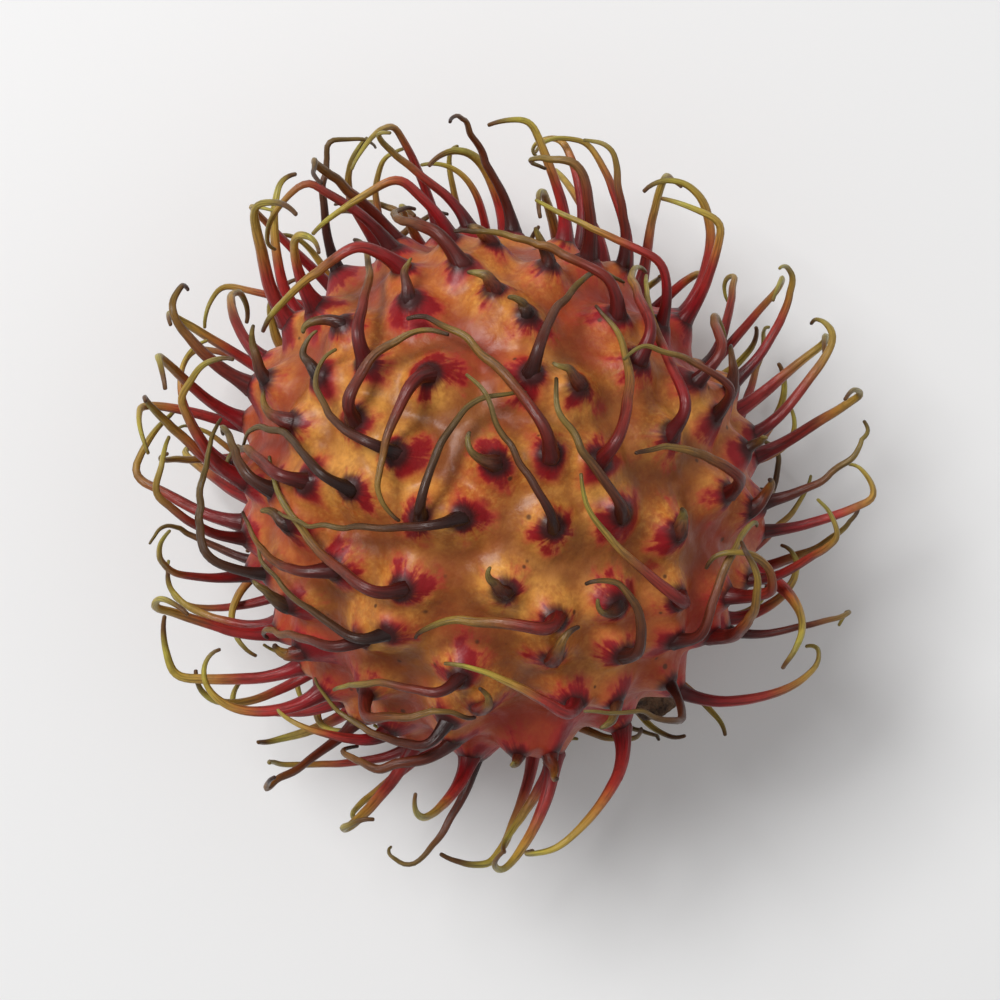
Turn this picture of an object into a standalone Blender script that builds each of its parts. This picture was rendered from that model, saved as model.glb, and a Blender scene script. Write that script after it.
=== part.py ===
"""A rambutan, as picked, lying on its side: the hairy fruit and the cut end of its stalk.

The fruit's skin is an ovoid with a raised cushion under each spine. The spines grow out of the
cushions, lean towards the far end of the fruit, lie over the skin on top, stand clear of it at
the sides and hook at the tip. The skin is pressed flat where it rests. All lengths are in
metres, +Z is up, and the origin is the middle of the flat spot.
"""

import math
import random

import bmesh
import bpy
import numpy as np
from mathutils import Matrix, Quaternion, Vector
from mathutils.kdtree import KDTree

MM = 0.001

# Body of the fruit, measured over its cushions
BODY_LENGTH = 45.0 * MM
BODY_BREADTH = 43.0 * MM
BODY_DEPTH = 41.5 * MM
EGG = 0.05                      # how much broader the stem half is than the far half
TILT = math.radians(15)         # the stem end is tipped down by this much
PRESS_DEPTH = 0.8 * MM          # how far the skin is pressed in at the flat spot
RIM_POINTS = 18                 # mesh points round the edge of the flat spot
RIM_CLEAR = 0.3 * MM            # no other mesh point is lower than this

# Cushions that the spines stand on
CUSHION_HEIGHT = 1.85 * MM
CUSHION_RADIUS = 2.15 * MM
CUSHION_RING = 1.35 * MM        # distance of the mesh points round each cushion's top
RING_POINTS = 4
LEAST_SPACING = 0.6 * MM        # mesh points nearer to each other than this are joined
CUSHION_FADE = 3.0 * MM         # cushions flatten out within this height of the surface
CUSHION_SHARE = 0.75            # share of a cushion's height that counts in the body's size

# Spines
SPINE_COUNT = 196
SPINE_SCATTER = 0.05            # how far a spine strays from an even spread, on a unit sphere
SPINE_SEED = 23
LENGTH_MEAN = 15.0 * MM
LENGTH_SPREAD = 2.0 * MM
LENGTH_RANGE = (11.0 * MM, 19.0 * MM)
WORN_SHARE = 0.32               # share of the spines on top that are worn to short stubs
WORN_RANGE = (2.4 * MM, 5.2 * MM)
WORN_FROM = 0.35                # spines whose skin faces up by more than this can be worn
SHAFT_RADIUS = 0.54 * MM
TIP_RADIUS = 0.16 * MM
FLARE_RADIUS = 0.38 * MM        # added at the root, where the spine widens into its cushion
FLARE_LENGTH = 1.0 * MM
SPINE_STEPS = 24
ROOT_STEPS = 3                  # steps at the root that may touch another spine
SPINE_RINGS = (2, 7, 12, 17, 21)  # steps at which the solid has a ring of corners
WORN_RINGS = (6, 15)            # the same, for a short stub
SPINE_SIDES = 3
FACET_GROWTH = 1.15             # a three-sided spine is made wider to look as thick as a round one
ROOT_DEPTH = 0.9 * MM           # how far each root is sunk under the skin
TRIALS = 24                     # ways tried for each spine, of which the clearest is kept
LOWEST_SPINE = 1.2 * MM         # no spine starts nearer to the surface than this

# How the spines lie; a skin that faces up or down by these shares counts as top or underside
TOP_FACING = (0.25, 0.75)
UNDER_FACING = (0.25, 0.8)
ROOT_LEAN = 0.4                 # share of its lean that a spine has at the root
LEAN_LENGTH = 0.3               # share of its length over which it takes on the rest
LEAN_TOP = math.radians(64)
LEAN_SIDE = math.radians(36)
LEAN_UNDER = math.radians(72)
LEAN_SPREAD = math.radians(9)
TURN_SPREAD = math.radians(32)
OUTWARD_PULL = 1.6              # how strongly spines of the underside turn outward
HOOK_RANGE = (math.radians(45), math.radians(170))
HOOK_TOP = 0.7                  # share of the hook's bend that spines on top have
HOOK_START = 0.3                # share of the hook's bend that is spread evenly along the spine
SWAY = 1.0                      # most that a spine sways to and fro along its length, in radians
SKIN_GAP = 0.2 * MM
LOOK_AHEAD = 1.0 * MM           # how far ahead a spine feels for the skin
SURFACE_GAP = 0.12 * MM
SURFACE_EASE = 1.5 * MM         # spines level out within this height of the surface
CLEAR_RANGE = (1.5 * MM, 4.5 * MM)  # distances along a spine over which it comes clear of the skin
ENOUGH_ROOM = 0.4 * MM          # space between two spines that is as good as any more
TOP_HEIGHT = 3.6 * MM           # the most that spines on top stand off the skin
SIDE_HEIGHT = 11.0 * MM
STEERING = 0.55                 # how hard a spine turns away when it is too low or too high

# Stalk and its socket
STALK_RADIUS = 1.7 * MM
STALK_LENGTH = 5.2 * MM
STALK_SIDES = 10
STALK_BEND = 0.7 * MM
STALK_SLANT = 0.18              # slope of the cut end
SOCKET_DEPTH = 2.5 * MM
SOCKET_SIDES = 20
GAP = 0.3 * MM
CALYX_RADII = (3.3 * MM, 2.3 * MM)
CALYX_THICKNESS = 0.7 * MM
CALYX_EDGE = 0.15 * MM
DIMPLE_DEPTH = 0.9 * MM
DIMPLE_RADII = (4.2 * MM, 7.0 * MM)

GOLDEN_ANGLE = math.pi * (3 - math.sqrt(5))

# Colours, as linear values
SKIN_COLOUR = (0.39, 0.15, 0.045, 1)
SPINE_COLOUR = (0.16, 0.03, 0.015, 1)
STALK_COLOUR = (0.12, 0.065, 0.03, 1)


def smoothstep(low, high, value):
    """Rise from 0 at low to 1 at high, smooth at both ends."""
    part = min(max((value - low) / (high - low), 0.0), 1.0)
    return part * part * (3 - 2 * part)


def mix(start, end, share):
    """Go from start to end as share goes from 0 to 1."""
    return start + (end - start) * share


# The smooth ovoid, in the fruit's own axes: +Y runs from the stalk to the far end
HALF = Vector((BODY_BREADTH, BODY_LENGTH, BODY_DEPTH)) / 2
HALF -= Vector((1, 1, 1)) * CUSHION_SHARE * CUSHION_HEIGHT


def ovoid_point(direction):
    """Point of the smooth ovoid for a unit direction."""
    girth = 1 - EGG * direction.y
    return Vector((HALF.x * girth * direction.x, HALF.y * direction.y, HALF.z * girth * direction.z))


def ovoid_height(point):
    """Height of a point above the smooth ovoid, and the direction away from it."""
    girth = 1 - EGG * point.y / HALF.y
    scaled = Vector((point.x / (HALF.x * girth), point.y / HALF.y, point.z / (HALF.z * girth)))
    size = scaled.length
    away = Vector((scaled.x / HALF.x, scaled.y / HALF.y, scaled.z / HALF.z)).normalized()
    return point.length * (1 - 1 / size), away


def resting_place():
    """Turn and place that lay the fruit down, with the pressed spot's middle at the origin."""
    turn = Matrix.Rotation(TILT, 4, 'X')
    circle = [math.radians(step / 10) for step in range(3600)]
    outline = [turn @ ovoid_point(Vector((0, math.cos(angle), math.sin(angle)))) for angle in circle]
    lowest = min(outline, key=lambda point: point.z)
    return Matrix.Translation((0, -lowest.y, -lowest.z - PRESS_DEPTH)) @ turn


FRUIT_TO_WORLD = resting_place()
WORLD_TO_FRUIT = FRUIT_TO_WORLD.inverted()
TURN = FRUIT_TO_WORLD.to_3x3()


def spine_directions(rng):
    """Unit directions of the spines: an even spread, each a little astray, none on the bare spots."""
    directions = []
    for index in range(SPINE_COUNT):
        along = 1 - 2 * (index + 0.5) / SPINE_COUNT
        across = math.sqrt(1 - along * along)
        angle = GOLDEN_ANGLE * index
        stray = Vector([rng.gauss(0, SPINE_SCATTER) for _ in range(3)])
        even = Vector((across * math.cos(angle), along, across * math.sin(angle)))
        direction = (even + stray).normalized()
        point = ovoid_point(direction)
        by_stalk = point.y < 0 and math.hypot(point.x, point.z) < DIMPLE_RADII[1] - 1 * MM
        under = (FRUIT_TO_WORLD @ point).z < LOWEST_SPINE
        if not by_stalk and not under:
            directions.append(direction)
    return directions


class Skin:
    """The skin's form: the ovoid, its cushions, the dimple at the stalk and the pressed spot."""

    def __init__(self, directions):
        self.directions = directions
        self.tree = KDTree(len(directions))
        for index, direction in enumerate(directions):
            self.tree.insert(ovoid_point(direction), index)
        self.tree.balance()

    def relief(self, point, own=None):
        """Height of the cushions at a point of the ovoid, leaving out one spine's own cushion."""
        height = 0.0
        for _, index, distance in self.tree.find_n(point, 4):
            if index != own:
                height += math.exp(-(distance / CUSHION_RADIUS) ** 2)
        rise = (FRUIT_TO_WORLD @ point).z
        bare = smoothstep(0, CUSHION_FADE, rise)
        if point.y < 0:
            bare *= smoothstep(*DIMPLE_RADII, math.hypot(point.x, point.z))
        return CUSHION_HEIGHT * min(height, 1.1) * bare

    def point(self, direction):
        """Point of the finished skin, in world axes."""
        base = ovoid_point(direction)
        _, away = ovoid_height(base)
        place = base + away * self.relief(base)
        if base.y < 0:
            rim = smoothstep(*DIMPLE_RADII, math.hypot(base.x, base.z))
            place.y = mix(-HALF.y + DIMPLE_DEPTH, place.y, rim)
        place = FRUIT_TO_WORLD @ place
        place.z = max(place.z, 0.0)
        return place


def flat_rim():
    """Directions of the mesh points round the edge of the flat spot."""
    down = TURN.transposed() @ Vector((0, 0, -1))
    side = down.orthogonal().normalized()
    rim = []
    for step in range(RIM_POINTS):
        across = Quaternion(down, step * math.tau / RIM_POINTS) @ side
        inside, outside = 0.0, math.pi / 2
        for _ in range(40):
            middle = (inside + outside) / 2
            direction = down * math.cos(middle) + across * math.sin(middle)
            if (FRUIT_TO_WORLD @ ovoid_point(direction)).z < 0:
                inside = middle
            else:
                outside = middle
        rim.append(down * math.cos(inside) + across * math.sin(inside))
    return rim


def cushion_ring(direction, start):
    """Directions of the mesh points round one cushion's top."""
    side = direction.orthogonal().normalized()
    spread = CUSHION_RING / HALF.x
    ring = []
    for step in range(RING_POINTS):
        turned = Quaternion(direction, start + step * math.tau / RING_POINTS) @ side
        ring.append((direction + turned * spread).normalized())
    return ring


def hull_mesh(directions):
    """Bmesh of the hull round a set of unit directions."""
    bm = bmesh.new()
    for direction in directions:
        bm.verts.new(direction)
    bmesh.ops.remove_doubles(bm, verts=bm.verts, dist=LEAST_SPACING / HALF.x)
    bmesh.ops.convex_hull(bm, input=bm.verts)
    bm.normal_update()
    return bm


def build_skin(skin, rng):
    """Mesh of the skin, with points round the flat spot and each cushion's top, and in each hollow."""
    between = hull_mesh(skin.directions)
    points = [face.normal.copy() for face in between.faces]
    between.free()
    for direction in skin.directions:
        points.extend(cushion_ring(direction, rng.uniform(0, math.tau)))
    raised = [point for point in points if (FRUIT_TO_WORLD @ ovoid_point(point)).z > RIM_CLEAR]
    bm = hull_mesh(raised + flat_rim())
    for vert in bm.verts:
        vert.co = skin.point(vert.co.normalized())
    bmesh.ops.recalc_face_normals(bm, faces=bm.faces)
    return bm


def spine_radius(distance, length):
    """Radius of a spine at a distance along it from the skin."""
    part = min(max(distance / length, 0.0), 1.0)
    taper = mix(SHAFT_RADIUS, TIP_RADIUS, part ** 1.3)
    return taper + FLARE_RADIUS * math.exp(-max(distance, 0.0) / FLARE_LENGTH)


def facing_top(away):
    """How far the skin that faces this way counts as the fruit's top."""
    return smoothstep(*TOP_FACING, away.z)


def leaning(away, place, rng):
    """Direction along the skin that a spine leans towards, and by how much it leans."""
    top = facing_top(away)
    under = smoothstep(*UNDER_FACING, -away.z)
    far_end = TURN @ Vector((0, 1, 0))
    outward = Vector((place.x, place.y, 0)).normalized()
    towards = far_end * (1 - under) + outward * OUTWARD_PULL * under
    towards = towards - away * towards.dot(away)
    if towards.length < 0.2:
        towards = away.orthogonal()
    spread = TURN_SPREAD * mix(1.0, 0.6, under)
    towards = Quaternion(away, rng.gauss(0, spread)) @ towards.normalized()
    lean = mix(mix(LEAN_SIDE, LEAN_TOP, top), LEAN_UNDER, under) + rng.gauss(0, LEAN_SPREAD)
    return towards, lean


def bend_axis(away, towards, rng):
    """Axis that a spine curls about: across the skin on top, any way at the sides."""
    top = facing_top(away)
    side = rng.choice((-1, 1))
    flat = away * side
    over = away.cross(towards)
    share = mix(rng.uniform(0.0, 0.9), rng.uniform(0.75, 1.0), top)
    return (flat * share + over * (1 - share)).normalized()


def grow_spine(skin, index, length, rng):
    """Points of a spine's middle line, one for each step, and its least space from the skin."""
    base = ovoid_point(skin.directions[index])
    _, away = ovoid_height(base)
    start = base + away * skin.relief(base)
    place = FRUIT_TO_WORLD @ start
    away = TURN @ away
    towards, lean = leaning(away, place, rng)
    heading = away * math.cos(lean * ROOT_LEAN) + towards * math.sin(lean * ROOT_LEAN)
    over = away.cross(towards)
    axis = bend_axis(away, towards, rng)
    hook = rng.uniform(*HOOK_RANGE) * mix(1.0, HOOK_TOP, facing_top(away))
    sway = rng.uniform(-SWAY, SWAY)
    stride = length / SPINE_STEPS
    ceiling = mix(SIDE_HEIGHT, TOP_HEIGHT, smoothstep(0.1, 0.7, away.z))
    points = [place.copy()]
    lowest = ENOUGH_ROOM
    for step in range(1, SPINE_STEPS + 1):
        part = step / SPINE_STEPS
        curl = hook * (HOOK_START + 4 * (1 - HOOK_START) * part ** 3) / SPINE_STEPS
        wave = sway * math.cos(part * 0.8 * math.tau) / SPINE_STEPS
        heading = Quaternion(axis, curl + wave) @ heading
        if part <= LEAN_LENGTH:
            share = (1 - ROOT_LEAN) / (LEAN_LENGTH * SPINE_STEPS)
            heading = Quaternion(over, lean * share) @ heading
        local = WORLD_TO_FRUIT @ (place + heading * LOOK_AHEAD)
        height, out = ovoid_height(local)
        foot = local * (1 - height / local.length)
        out = TURN @ out
        radius = spine_radius(stride * step, length)
        clear = smoothstep(*CLEAR_RANGE, stride * step)
        own = index if clear < 1 else None
        need = (skin.relief(foot, own) + radius + SKIN_GAP) * clear
        if clear == 1:
            lowest = min(lowest, height - need + SKIN_GAP)
        if height < need:
            heading += out * STEERING * min((need - height) / MM, 1.5)
        if height > ceiling:
            heading -= out * STEERING * min((height - ceiling) / MM, 1.0)
        floor = FACET_GROWTH * radius + SURFACE_GAP
        if place.z < floor + SURFACE_EASE and heading.z < 0:
            heading.z *= smoothstep(0, SURFACE_EASE, place.z - floor)
        heading.normalize()
        place = place + heading * stride
        place.z = max(place.z, floor)
        points.append(place.copy())
    return points, lowest


def spine_radii(length):
    """Radius of a spine at each of its steps."""
    return np.array([spine_radius(length * step / SPINE_STEPS, length) for step in range(SPINE_STEPS + 1)])


def room(points, radii, placed):
    """Least space between a spine and those already placed, no more than is worth having."""
    if not placed:
        return ENOUGH_ROOM
    others = np.concatenate([line for line, _ in placed])
    other_radii = np.concatenate([others_own for _, others_own in placed])
    line = np.array(points)[ROOT_STEPS:]
    apart = np.linalg.norm(line[:, None, :] - others[None, :, :], axis=2)
    space = apart - radii[ROOT_STEPS:, None] - other_radii[None, :]
    return min(float(space.min()), ENOUGH_ROOM)


def spine_length(direction, rng):
    """Length of the spine at a direction: a short stub for some of those on top."""
    _, away = ovoid_height(ovoid_point(direction))
    full = min(max(rng.gauss(LENGTH_MEAN, LENGTH_SPREAD), LENGTH_RANGE[0]), LENGTH_RANGE[1])
    stub = rng.uniform(*WORN_RANGE)
    worn = rng.random() < WORN_SHARE and (TURN @ away).z > WORN_FROM
    return stub if worn else full


def grow_spines(skin, rng):
    """Middle lines and lengths of all the spines, each the clearest of a few tries."""
    spines = []
    placed = []
    for index in range(len(skin.directions)):
        length = spine_length(skin.directions[index], rng)
        radii = spine_radii(length)
        tries = [grow_spine(skin, index, length, rng) for _ in range(TRIALS)]
        rooms = [min(room(points, radii, placed), lowest) for points, lowest in tries]
        best, _ = tries[rooms.index(max(rooms))]
        placed.append((np.array(best), radii))
        spines.append((best, length))
    return spines


def tube(bm, centres, rings):
    """Join rings of corners into a closed tube; a ring of one corner is a point."""
    loops = [[bm.verts.new(centre + offset) for offset in ring] for centre, ring in zip(centres, rings)]
    bm.faces.new(reversed(loops[0]))
    for lower, upper in zip(loops, loops[1:]):
        count = len(lower)
        for step in range(count):
            after = (step + 1) % count
            if len(upper) == 1:
                bm.faces.new((lower[step], lower[after], upper[0]))
            else:
                bm.faces.new((lower[step], lower[after], upper[after], upper[step]))
    if len(loops[-1]) > 1:
        bm.faces.new(loops[-1])


def spine_mesh(points, length):
    """Bmesh of one spine: three-sided rings from the sunk root to a pointed tip."""
    setting_off = (points[1] - points[0]).normalized()
    stations = [(points[0] - setting_off * ROOT_DEPTH, 0.0)]
    steps = WORN_RINGS if length <= WORN_RANGE[1] else SPINE_RINGS
    stations += [(points[step], step * length / SPINE_STEPS) for step in steps]
    centres = [centre for centre, _ in stations] + [points[-1]]
    headings = [(after - before).normalized() for before, after in zip(centres, centres[1:])]
    side = headings[0].orthogonal().normalized()
    rings = []
    for number, (_, distance) in enumerate(stations):
        before = headings[max(number - 1, 0)]
        along = (before + headings[number]).normalized()
        side = (side - along * side.dot(along)).normalized()
        radius = FACET_GROWTH * spine_radius(distance, length)
        turns = [Quaternion(along, step * math.tau / SPINE_SIDES) for step in range(SPINE_SIDES)]
        rings.append([turn @ side * radius for turn in turns])
    rings.append([Vector((0, 0, 0))])
    bm = bmesh.new()
    tube(bm, centres, rings)
    for vert in bm.verts:
        vert.co.z = max(vert.co.z, SURFACE_GAP)
    return bm


def stalk_mesh():
    """Bmesh of the stalk along +Z, with its skin level at zero and its calyx just above that."""
    calyx_top = GAP + CALYX_THICKNESS
    profile = [
        (-SOCKET_DEPTH + GAP, [0.92 * STALK_RADIUS]),
        (GAP - CALYX_EDGE, [STALK_RADIUS]),
        (GAP, CALYX_RADII),
        (calyx_top, CALYX_RADII),
        (calyx_top + CALYX_EDGE, [1.04 * STALK_RADIUS]),
        (0.65 * STALK_LENGTH, [0.93 * STALK_RADIUS]),
        (STALK_LENGTH, [1.06 * STALK_RADIUS]),
    ]
    centres = []
    rings = []
    for height, radii in profile:
        above = max(height, 0) / STALK_LENGTH
        centres.append(Vector((STALK_BEND * above ** 2, 0, height)))
        ring = []
        for step in range(STALK_SIDES):
            angle = step * math.tau / STALK_SIDES
            radius = radii[step % len(radii)]
            slant = STALK_SLANT * radius * math.cos(angle) if height == STALK_LENGTH else 0
            ring.append(Vector((radius * math.cos(angle), radius * math.sin(angle), slant)))
        rings.append(ring)
    bm = bmesh.new()
    tube(bm, centres, rings)
    return bm


def new_material(name, colour, roughness):
    """Plain surface of one colour."""
    material = bpy.data.materials.new(name)
    material.use_nodes = True
    shader = material.node_tree.nodes["Principled BSDF"]
    shader.inputs["Base Color"].default_value = colour
    shader.inputs["Roughness"].default_value = roughness
    shader.inputs["Metallic"].default_value = 0.0
    return material


def new_object(name, bm, material, collection=None):
    """Object from a bmesh, with one material."""
    mesh = bpy.data.meshes.new(name)
    bm.to_mesh(mesh)
    bm.free()
    mesh.materials.append(material)
    made = bpy.data.objects.new(name, mesh)
    (collection or bpy.context.scene.collection).objects.link(made)
    return made


def keep_main_body(mesh):
    """Fill any hollow that crossing spines have sealed, and drop any loose scrap."""
    bm = bmesh.new()
    bm.from_mesh(mesh)
    waiting = set(bm.verts)
    bodies = []
    while waiting:
        body = set()
        front = [waiting.pop()]
        while front:
            vert = front.pop()
            body.add(vert)
            near = [edge.other_vert(vert) for edge in vert.link_edges]
            fresh = [other for other in near if other in waiting]
            waiting.difference_update(fresh)
            front.extend(fresh)
        bodies.append(body)
    main = max(bodies, key=len)
    bmesh.ops.delete(bm, geom=[vert for vert in bm.verts if vert not in main], context='VERTS')
    bm.to_mesh(mesh)
    bm.free()


def fuse_spines(fruit, spines):
    """Join a collection of spines to the fruit in one solid, then remove the loose spines."""
    union = fruit.modifiers.new("spines", 'BOOLEAN')
    union.operation = 'UNION'
    union.operand_type = 'COLLECTION'
    union.collection = spines
    union.solver = 'MANIFOLD'
    union.material_mode = 'TRANSFER'
    evaluated = fruit.evaluated_get(bpy.context.evaluated_depsgraph_get())
    fused = bpy.data.meshes.new_from_object(evaluated)
    fruit.modifiers.remove(union)
    fruit.data = fused
    keep_main_body(fused)
    for spine in list(spines.objects):
        bpy.data.objects.remove(spine)
    bpy.data.collections.remove(spines)


def stalk_place():
    """Place and turn of the stalk: its +Z points out of the fruit at the stem end."""
    floor = Vector((0, -HALF.y + DIMPLE_DEPTH, 0))
    return FRUIT_TO_WORLD @ Matrix.Translation(floor) @ Matrix.Rotation(math.radians(90), 4, 'X')


def cut_socket(fruit):
    """Plain round socket for the stalk, cut by a hidden cylinder."""
    bm = bmesh.new()
    radius = STALK_RADIUS + GAP
    depth = 2 * SOCKET_DEPTH
    bmesh.ops.create_cone(
        bm, cap_ends=True, segments=SOCKET_SIDES, radius1=radius, radius2=radius, depth=depth
    )
    cutter = new_object("socket_cutter", bm, fruit.data.materials[0])
    cutter.matrix_world = stalk_place()
    cutter.hide_render = True
    cutter.display_type = 'WIRE'
    cut = fruit.modifiers.new("socket", 'BOOLEAN')
    cut.operation = 'DIFFERENCE'
    cut.object = cutter
    cut.solver = 'MANIFOLD'


def shade(made, angle):
    """Smooth shading, with edges sharper than an angle left crisp."""
    made.data.shade_smooth()
    made.data.set_sharp_from_angle(angle=angle)


def build_fruit():
    """The skin with its spines, as one solid."""
    rng = random.Random(SPINE_SEED)
    skin = Skin(spine_directions(rng))
    skin_material = new_material("rambutan_skin", SKIN_COLOUR, 0.45)
    spine_material = new_material("rambutan_spine", SPINE_COLOUR, 0.4)
    grown = grow_spines(skin, rng)
    fruit = new_object("fruit", build_skin(skin, rng), skin_material)
    spines = bpy.data.collections.new("spines")
    bpy.context.scene.collection.children.link(spines)
    for index, (points, length) in enumerate(grown):
        new_object(f"spine_{index}", spine_mesh(points, length), spine_material, spines)
    fuse_spines(fruit, spines)
    cut_socket(fruit)
    shade(fruit, math.radians(50))


def build_stalk():
    """The cut end of the stalk, standing in its socket."""
    stalk = new_object("stalk", stalk_mesh(), new_material("rambutan_stalk", STALK_COLOUR, 0.8))
    stalk.matrix_world = stalk_place()
    shade(stalk, math.radians(35))


def clear_scene():
    """Remove every object that the scene starts with."""
    for old in list(bpy.data.objects):
        bpy.data.objects.remove(old)


clear_scene()
build_fruit()
build_stalk()
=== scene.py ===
"""The finished look of a rambutan that lies on its side.

The script loads the solid model as a fixed frame, replaces the plain fruit and stalk with finely
shaped pieces that keep their form, dresses them, and sets up a pale studio with the camera above
the fruit. All lengths are in metres, +Z is up.
"""

from __future__ import annotations

import logging
import math
import random
from collections.abc import Sequence
from dataclasses import dataclass, field
from enum import Enum

import bmesh
import bpy
import numpy as np
from mathutils import Matrix, Quaternion, Vector
from mathutils import noise as space_noise
from mathutils.kdtree import KDTree


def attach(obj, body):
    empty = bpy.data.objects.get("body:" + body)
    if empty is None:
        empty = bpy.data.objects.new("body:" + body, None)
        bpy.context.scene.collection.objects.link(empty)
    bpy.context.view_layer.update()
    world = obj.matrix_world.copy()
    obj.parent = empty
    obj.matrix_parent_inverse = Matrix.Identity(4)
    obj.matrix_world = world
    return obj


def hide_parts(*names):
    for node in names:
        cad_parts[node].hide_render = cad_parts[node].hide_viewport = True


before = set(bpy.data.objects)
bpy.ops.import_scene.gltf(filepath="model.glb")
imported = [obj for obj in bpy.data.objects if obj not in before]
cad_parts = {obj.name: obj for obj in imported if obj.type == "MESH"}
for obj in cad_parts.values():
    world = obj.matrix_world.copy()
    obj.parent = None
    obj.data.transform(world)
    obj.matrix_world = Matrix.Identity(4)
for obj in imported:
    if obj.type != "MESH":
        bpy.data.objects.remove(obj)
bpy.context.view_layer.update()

LOG = logging.getLogger("rambutan")

MM = 0.001
GOLDEN_ANGLE = math.pi * (3 - math.sqrt(5))
TENTHS = 3600
LEANT_STEP = 6
NOISE_ROUGHNESS = 0.55

Colour = tuple[float, float, float, float]
Stops = tuple[tuple[float, Colour], ...]
Socket = bpy.types.NodeSocket


def smoothstep(low: float, high: float, value: float) -> float:
    """Rise from 0 at low to 1 at high, smooth at both ends."""
    part = min(max((value - low) / (high - low), 0.0), 1.0)
    return part * part * (3 - 2 * part)


def smooth_array(low: float, high: float, values: np.ndarray) -> np.ndarray:
    """Smoothstep for every number of an array."""
    part = np.clip((values - low) / (high - low), 0.0, 1.0)
    return part * part * (3 - 2 * part)


def mix(start: float, end: float, share: float) -> float:
    """Go from start to end as share goes from 0 to 1."""
    return start + (end - start) * share


def srgb(red: int, green: int, blue: int) -> Colour:
    """Turn a screen colour into the linear values that shaders take.

    Args:
        red: Red, from 0 to 255.
        green: Green, from 0 to 255.
        blue: Blue, from 0 to 255.

    Returns:
        The colour as linear red, green, blue and full opacity.
    """
    shares = (channel / 255 for channel in (red, green, blue))
    linear = [s / 12.92 if s <= 0.04045 else ((s + 0.055) / 1.055) ** 2.4 for s in shares]
    return (*linear, 1.0)


class SpineWear(Enum):
    """How a spine has kept, with the least and greatest age of such a spine: 0 fresh, 1 dry."""

    FRESH = (0.0, 0.4)
    DRY = (0.6, 1.0)
    STUB = (0.75, 1.0)


@dataclass(frozen=True)
class BodySizes:
    """Sizes of the fruit's body, over its cushions, and how it lies."""

    length: float = 45.0 * MM
    breadth: float = 43.0 * MM
    depth: float = 41.5 * MM
    egg: float = 0.05
    tilt: float = math.radians(15)
    press_depth: float = 0.8 * MM
    cushion_height: float = 1.85 * MM
    cushion_radius: float = 2.15 * MM
    cushion_fade: float = 3.0 * MM
    cushion_share: float = 0.75
    cushion_limit: float = 1.1
    dimple_depth: float = 0.9 * MM
    dimple_radii: tuple[float, float] = (4.2 * MM, 7.0 * MM)


@dataclass(frozen=True)
class SpineSizes:
    """Sizes of the spines and their spread over the skin."""

    count: int = 196
    scatter: float = 0.05
    seed: int = 23
    length_mean: float = 15.0 * MM
    length_spread: float = 2.0 * MM
    length_range: tuple[float, float] = (11.0 * MM, 19.0 * MM)
    worn_share: float = 0.32
    worn_range: tuple[float, float] = (2.4 * MM, 5.2 * MM)
    worn_from: float = 0.35
    shaft_radius: float = 0.54 * MM
    tip_radius: float = 0.16 * MM
    flare_radius: float = 0.38 * MM
    flare_length: float = 1.0 * MM
    taper_power: float = 1.3
    steps: int = 24
    root_steps: int = 3
    facet_growth: float = 1.15
    root_depth: float = 0.9 * MM
    trials: int = 24
    lowest: float = 1.2 * MM
    dry_shares: tuple[float, float] = (0.22, 0.86)
    dry_facing: tuple[float, float] = (0.2, 0.8)


@dataclass(frozen=True)
class SpineLie:
    """How the spines lie on top, stand at the sides and spread underneath."""

    top_facing: tuple[float, float] = (0.25, 0.75)
    under_facing: tuple[float, float] = (0.25, 0.8)
    root_lean: float = 0.4
    lean_length: float = 0.3
    lean_top: float = math.radians(64)
    lean_side: float = math.radians(36)
    lean_under: float = math.radians(72)
    lean_spread: float = math.radians(9)
    turn_spread: float = math.radians(32)
    under_spread: float = 0.6
    outward_pull: float = 1.6
    least_run: float = 0.2
    flat_side: tuple[float, float] = (0.0, 0.9)
    flat_top: tuple[float, float] = (0.75, 1.0)
    hook_range: tuple[float, float] = (math.radians(45), math.radians(170))
    hook_top: float = 0.7
    hook_start: float = 0.3
    sway: float = 1.0
    sway_turns: float = 0.8
    skin_gap: float = 0.2 * MM
    look_ahead: float = 1.0 * MM
    surface_gap: float = 0.12 * MM
    surface_ease: float = 1.5 * MM
    clear_range: tuple[float, float] = (1.5 * MM, 4.5 * MM)
    enough_room: float = 0.4 * MM
    top_height: float = 3.6 * MM
    side_height: float = 11.0 * MM
    height_facing: tuple[float, float] = (0.1, 0.7)
    steering: float = 0.55
    steering_limits: tuple[float, float] = (1.5, 1.0)


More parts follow.
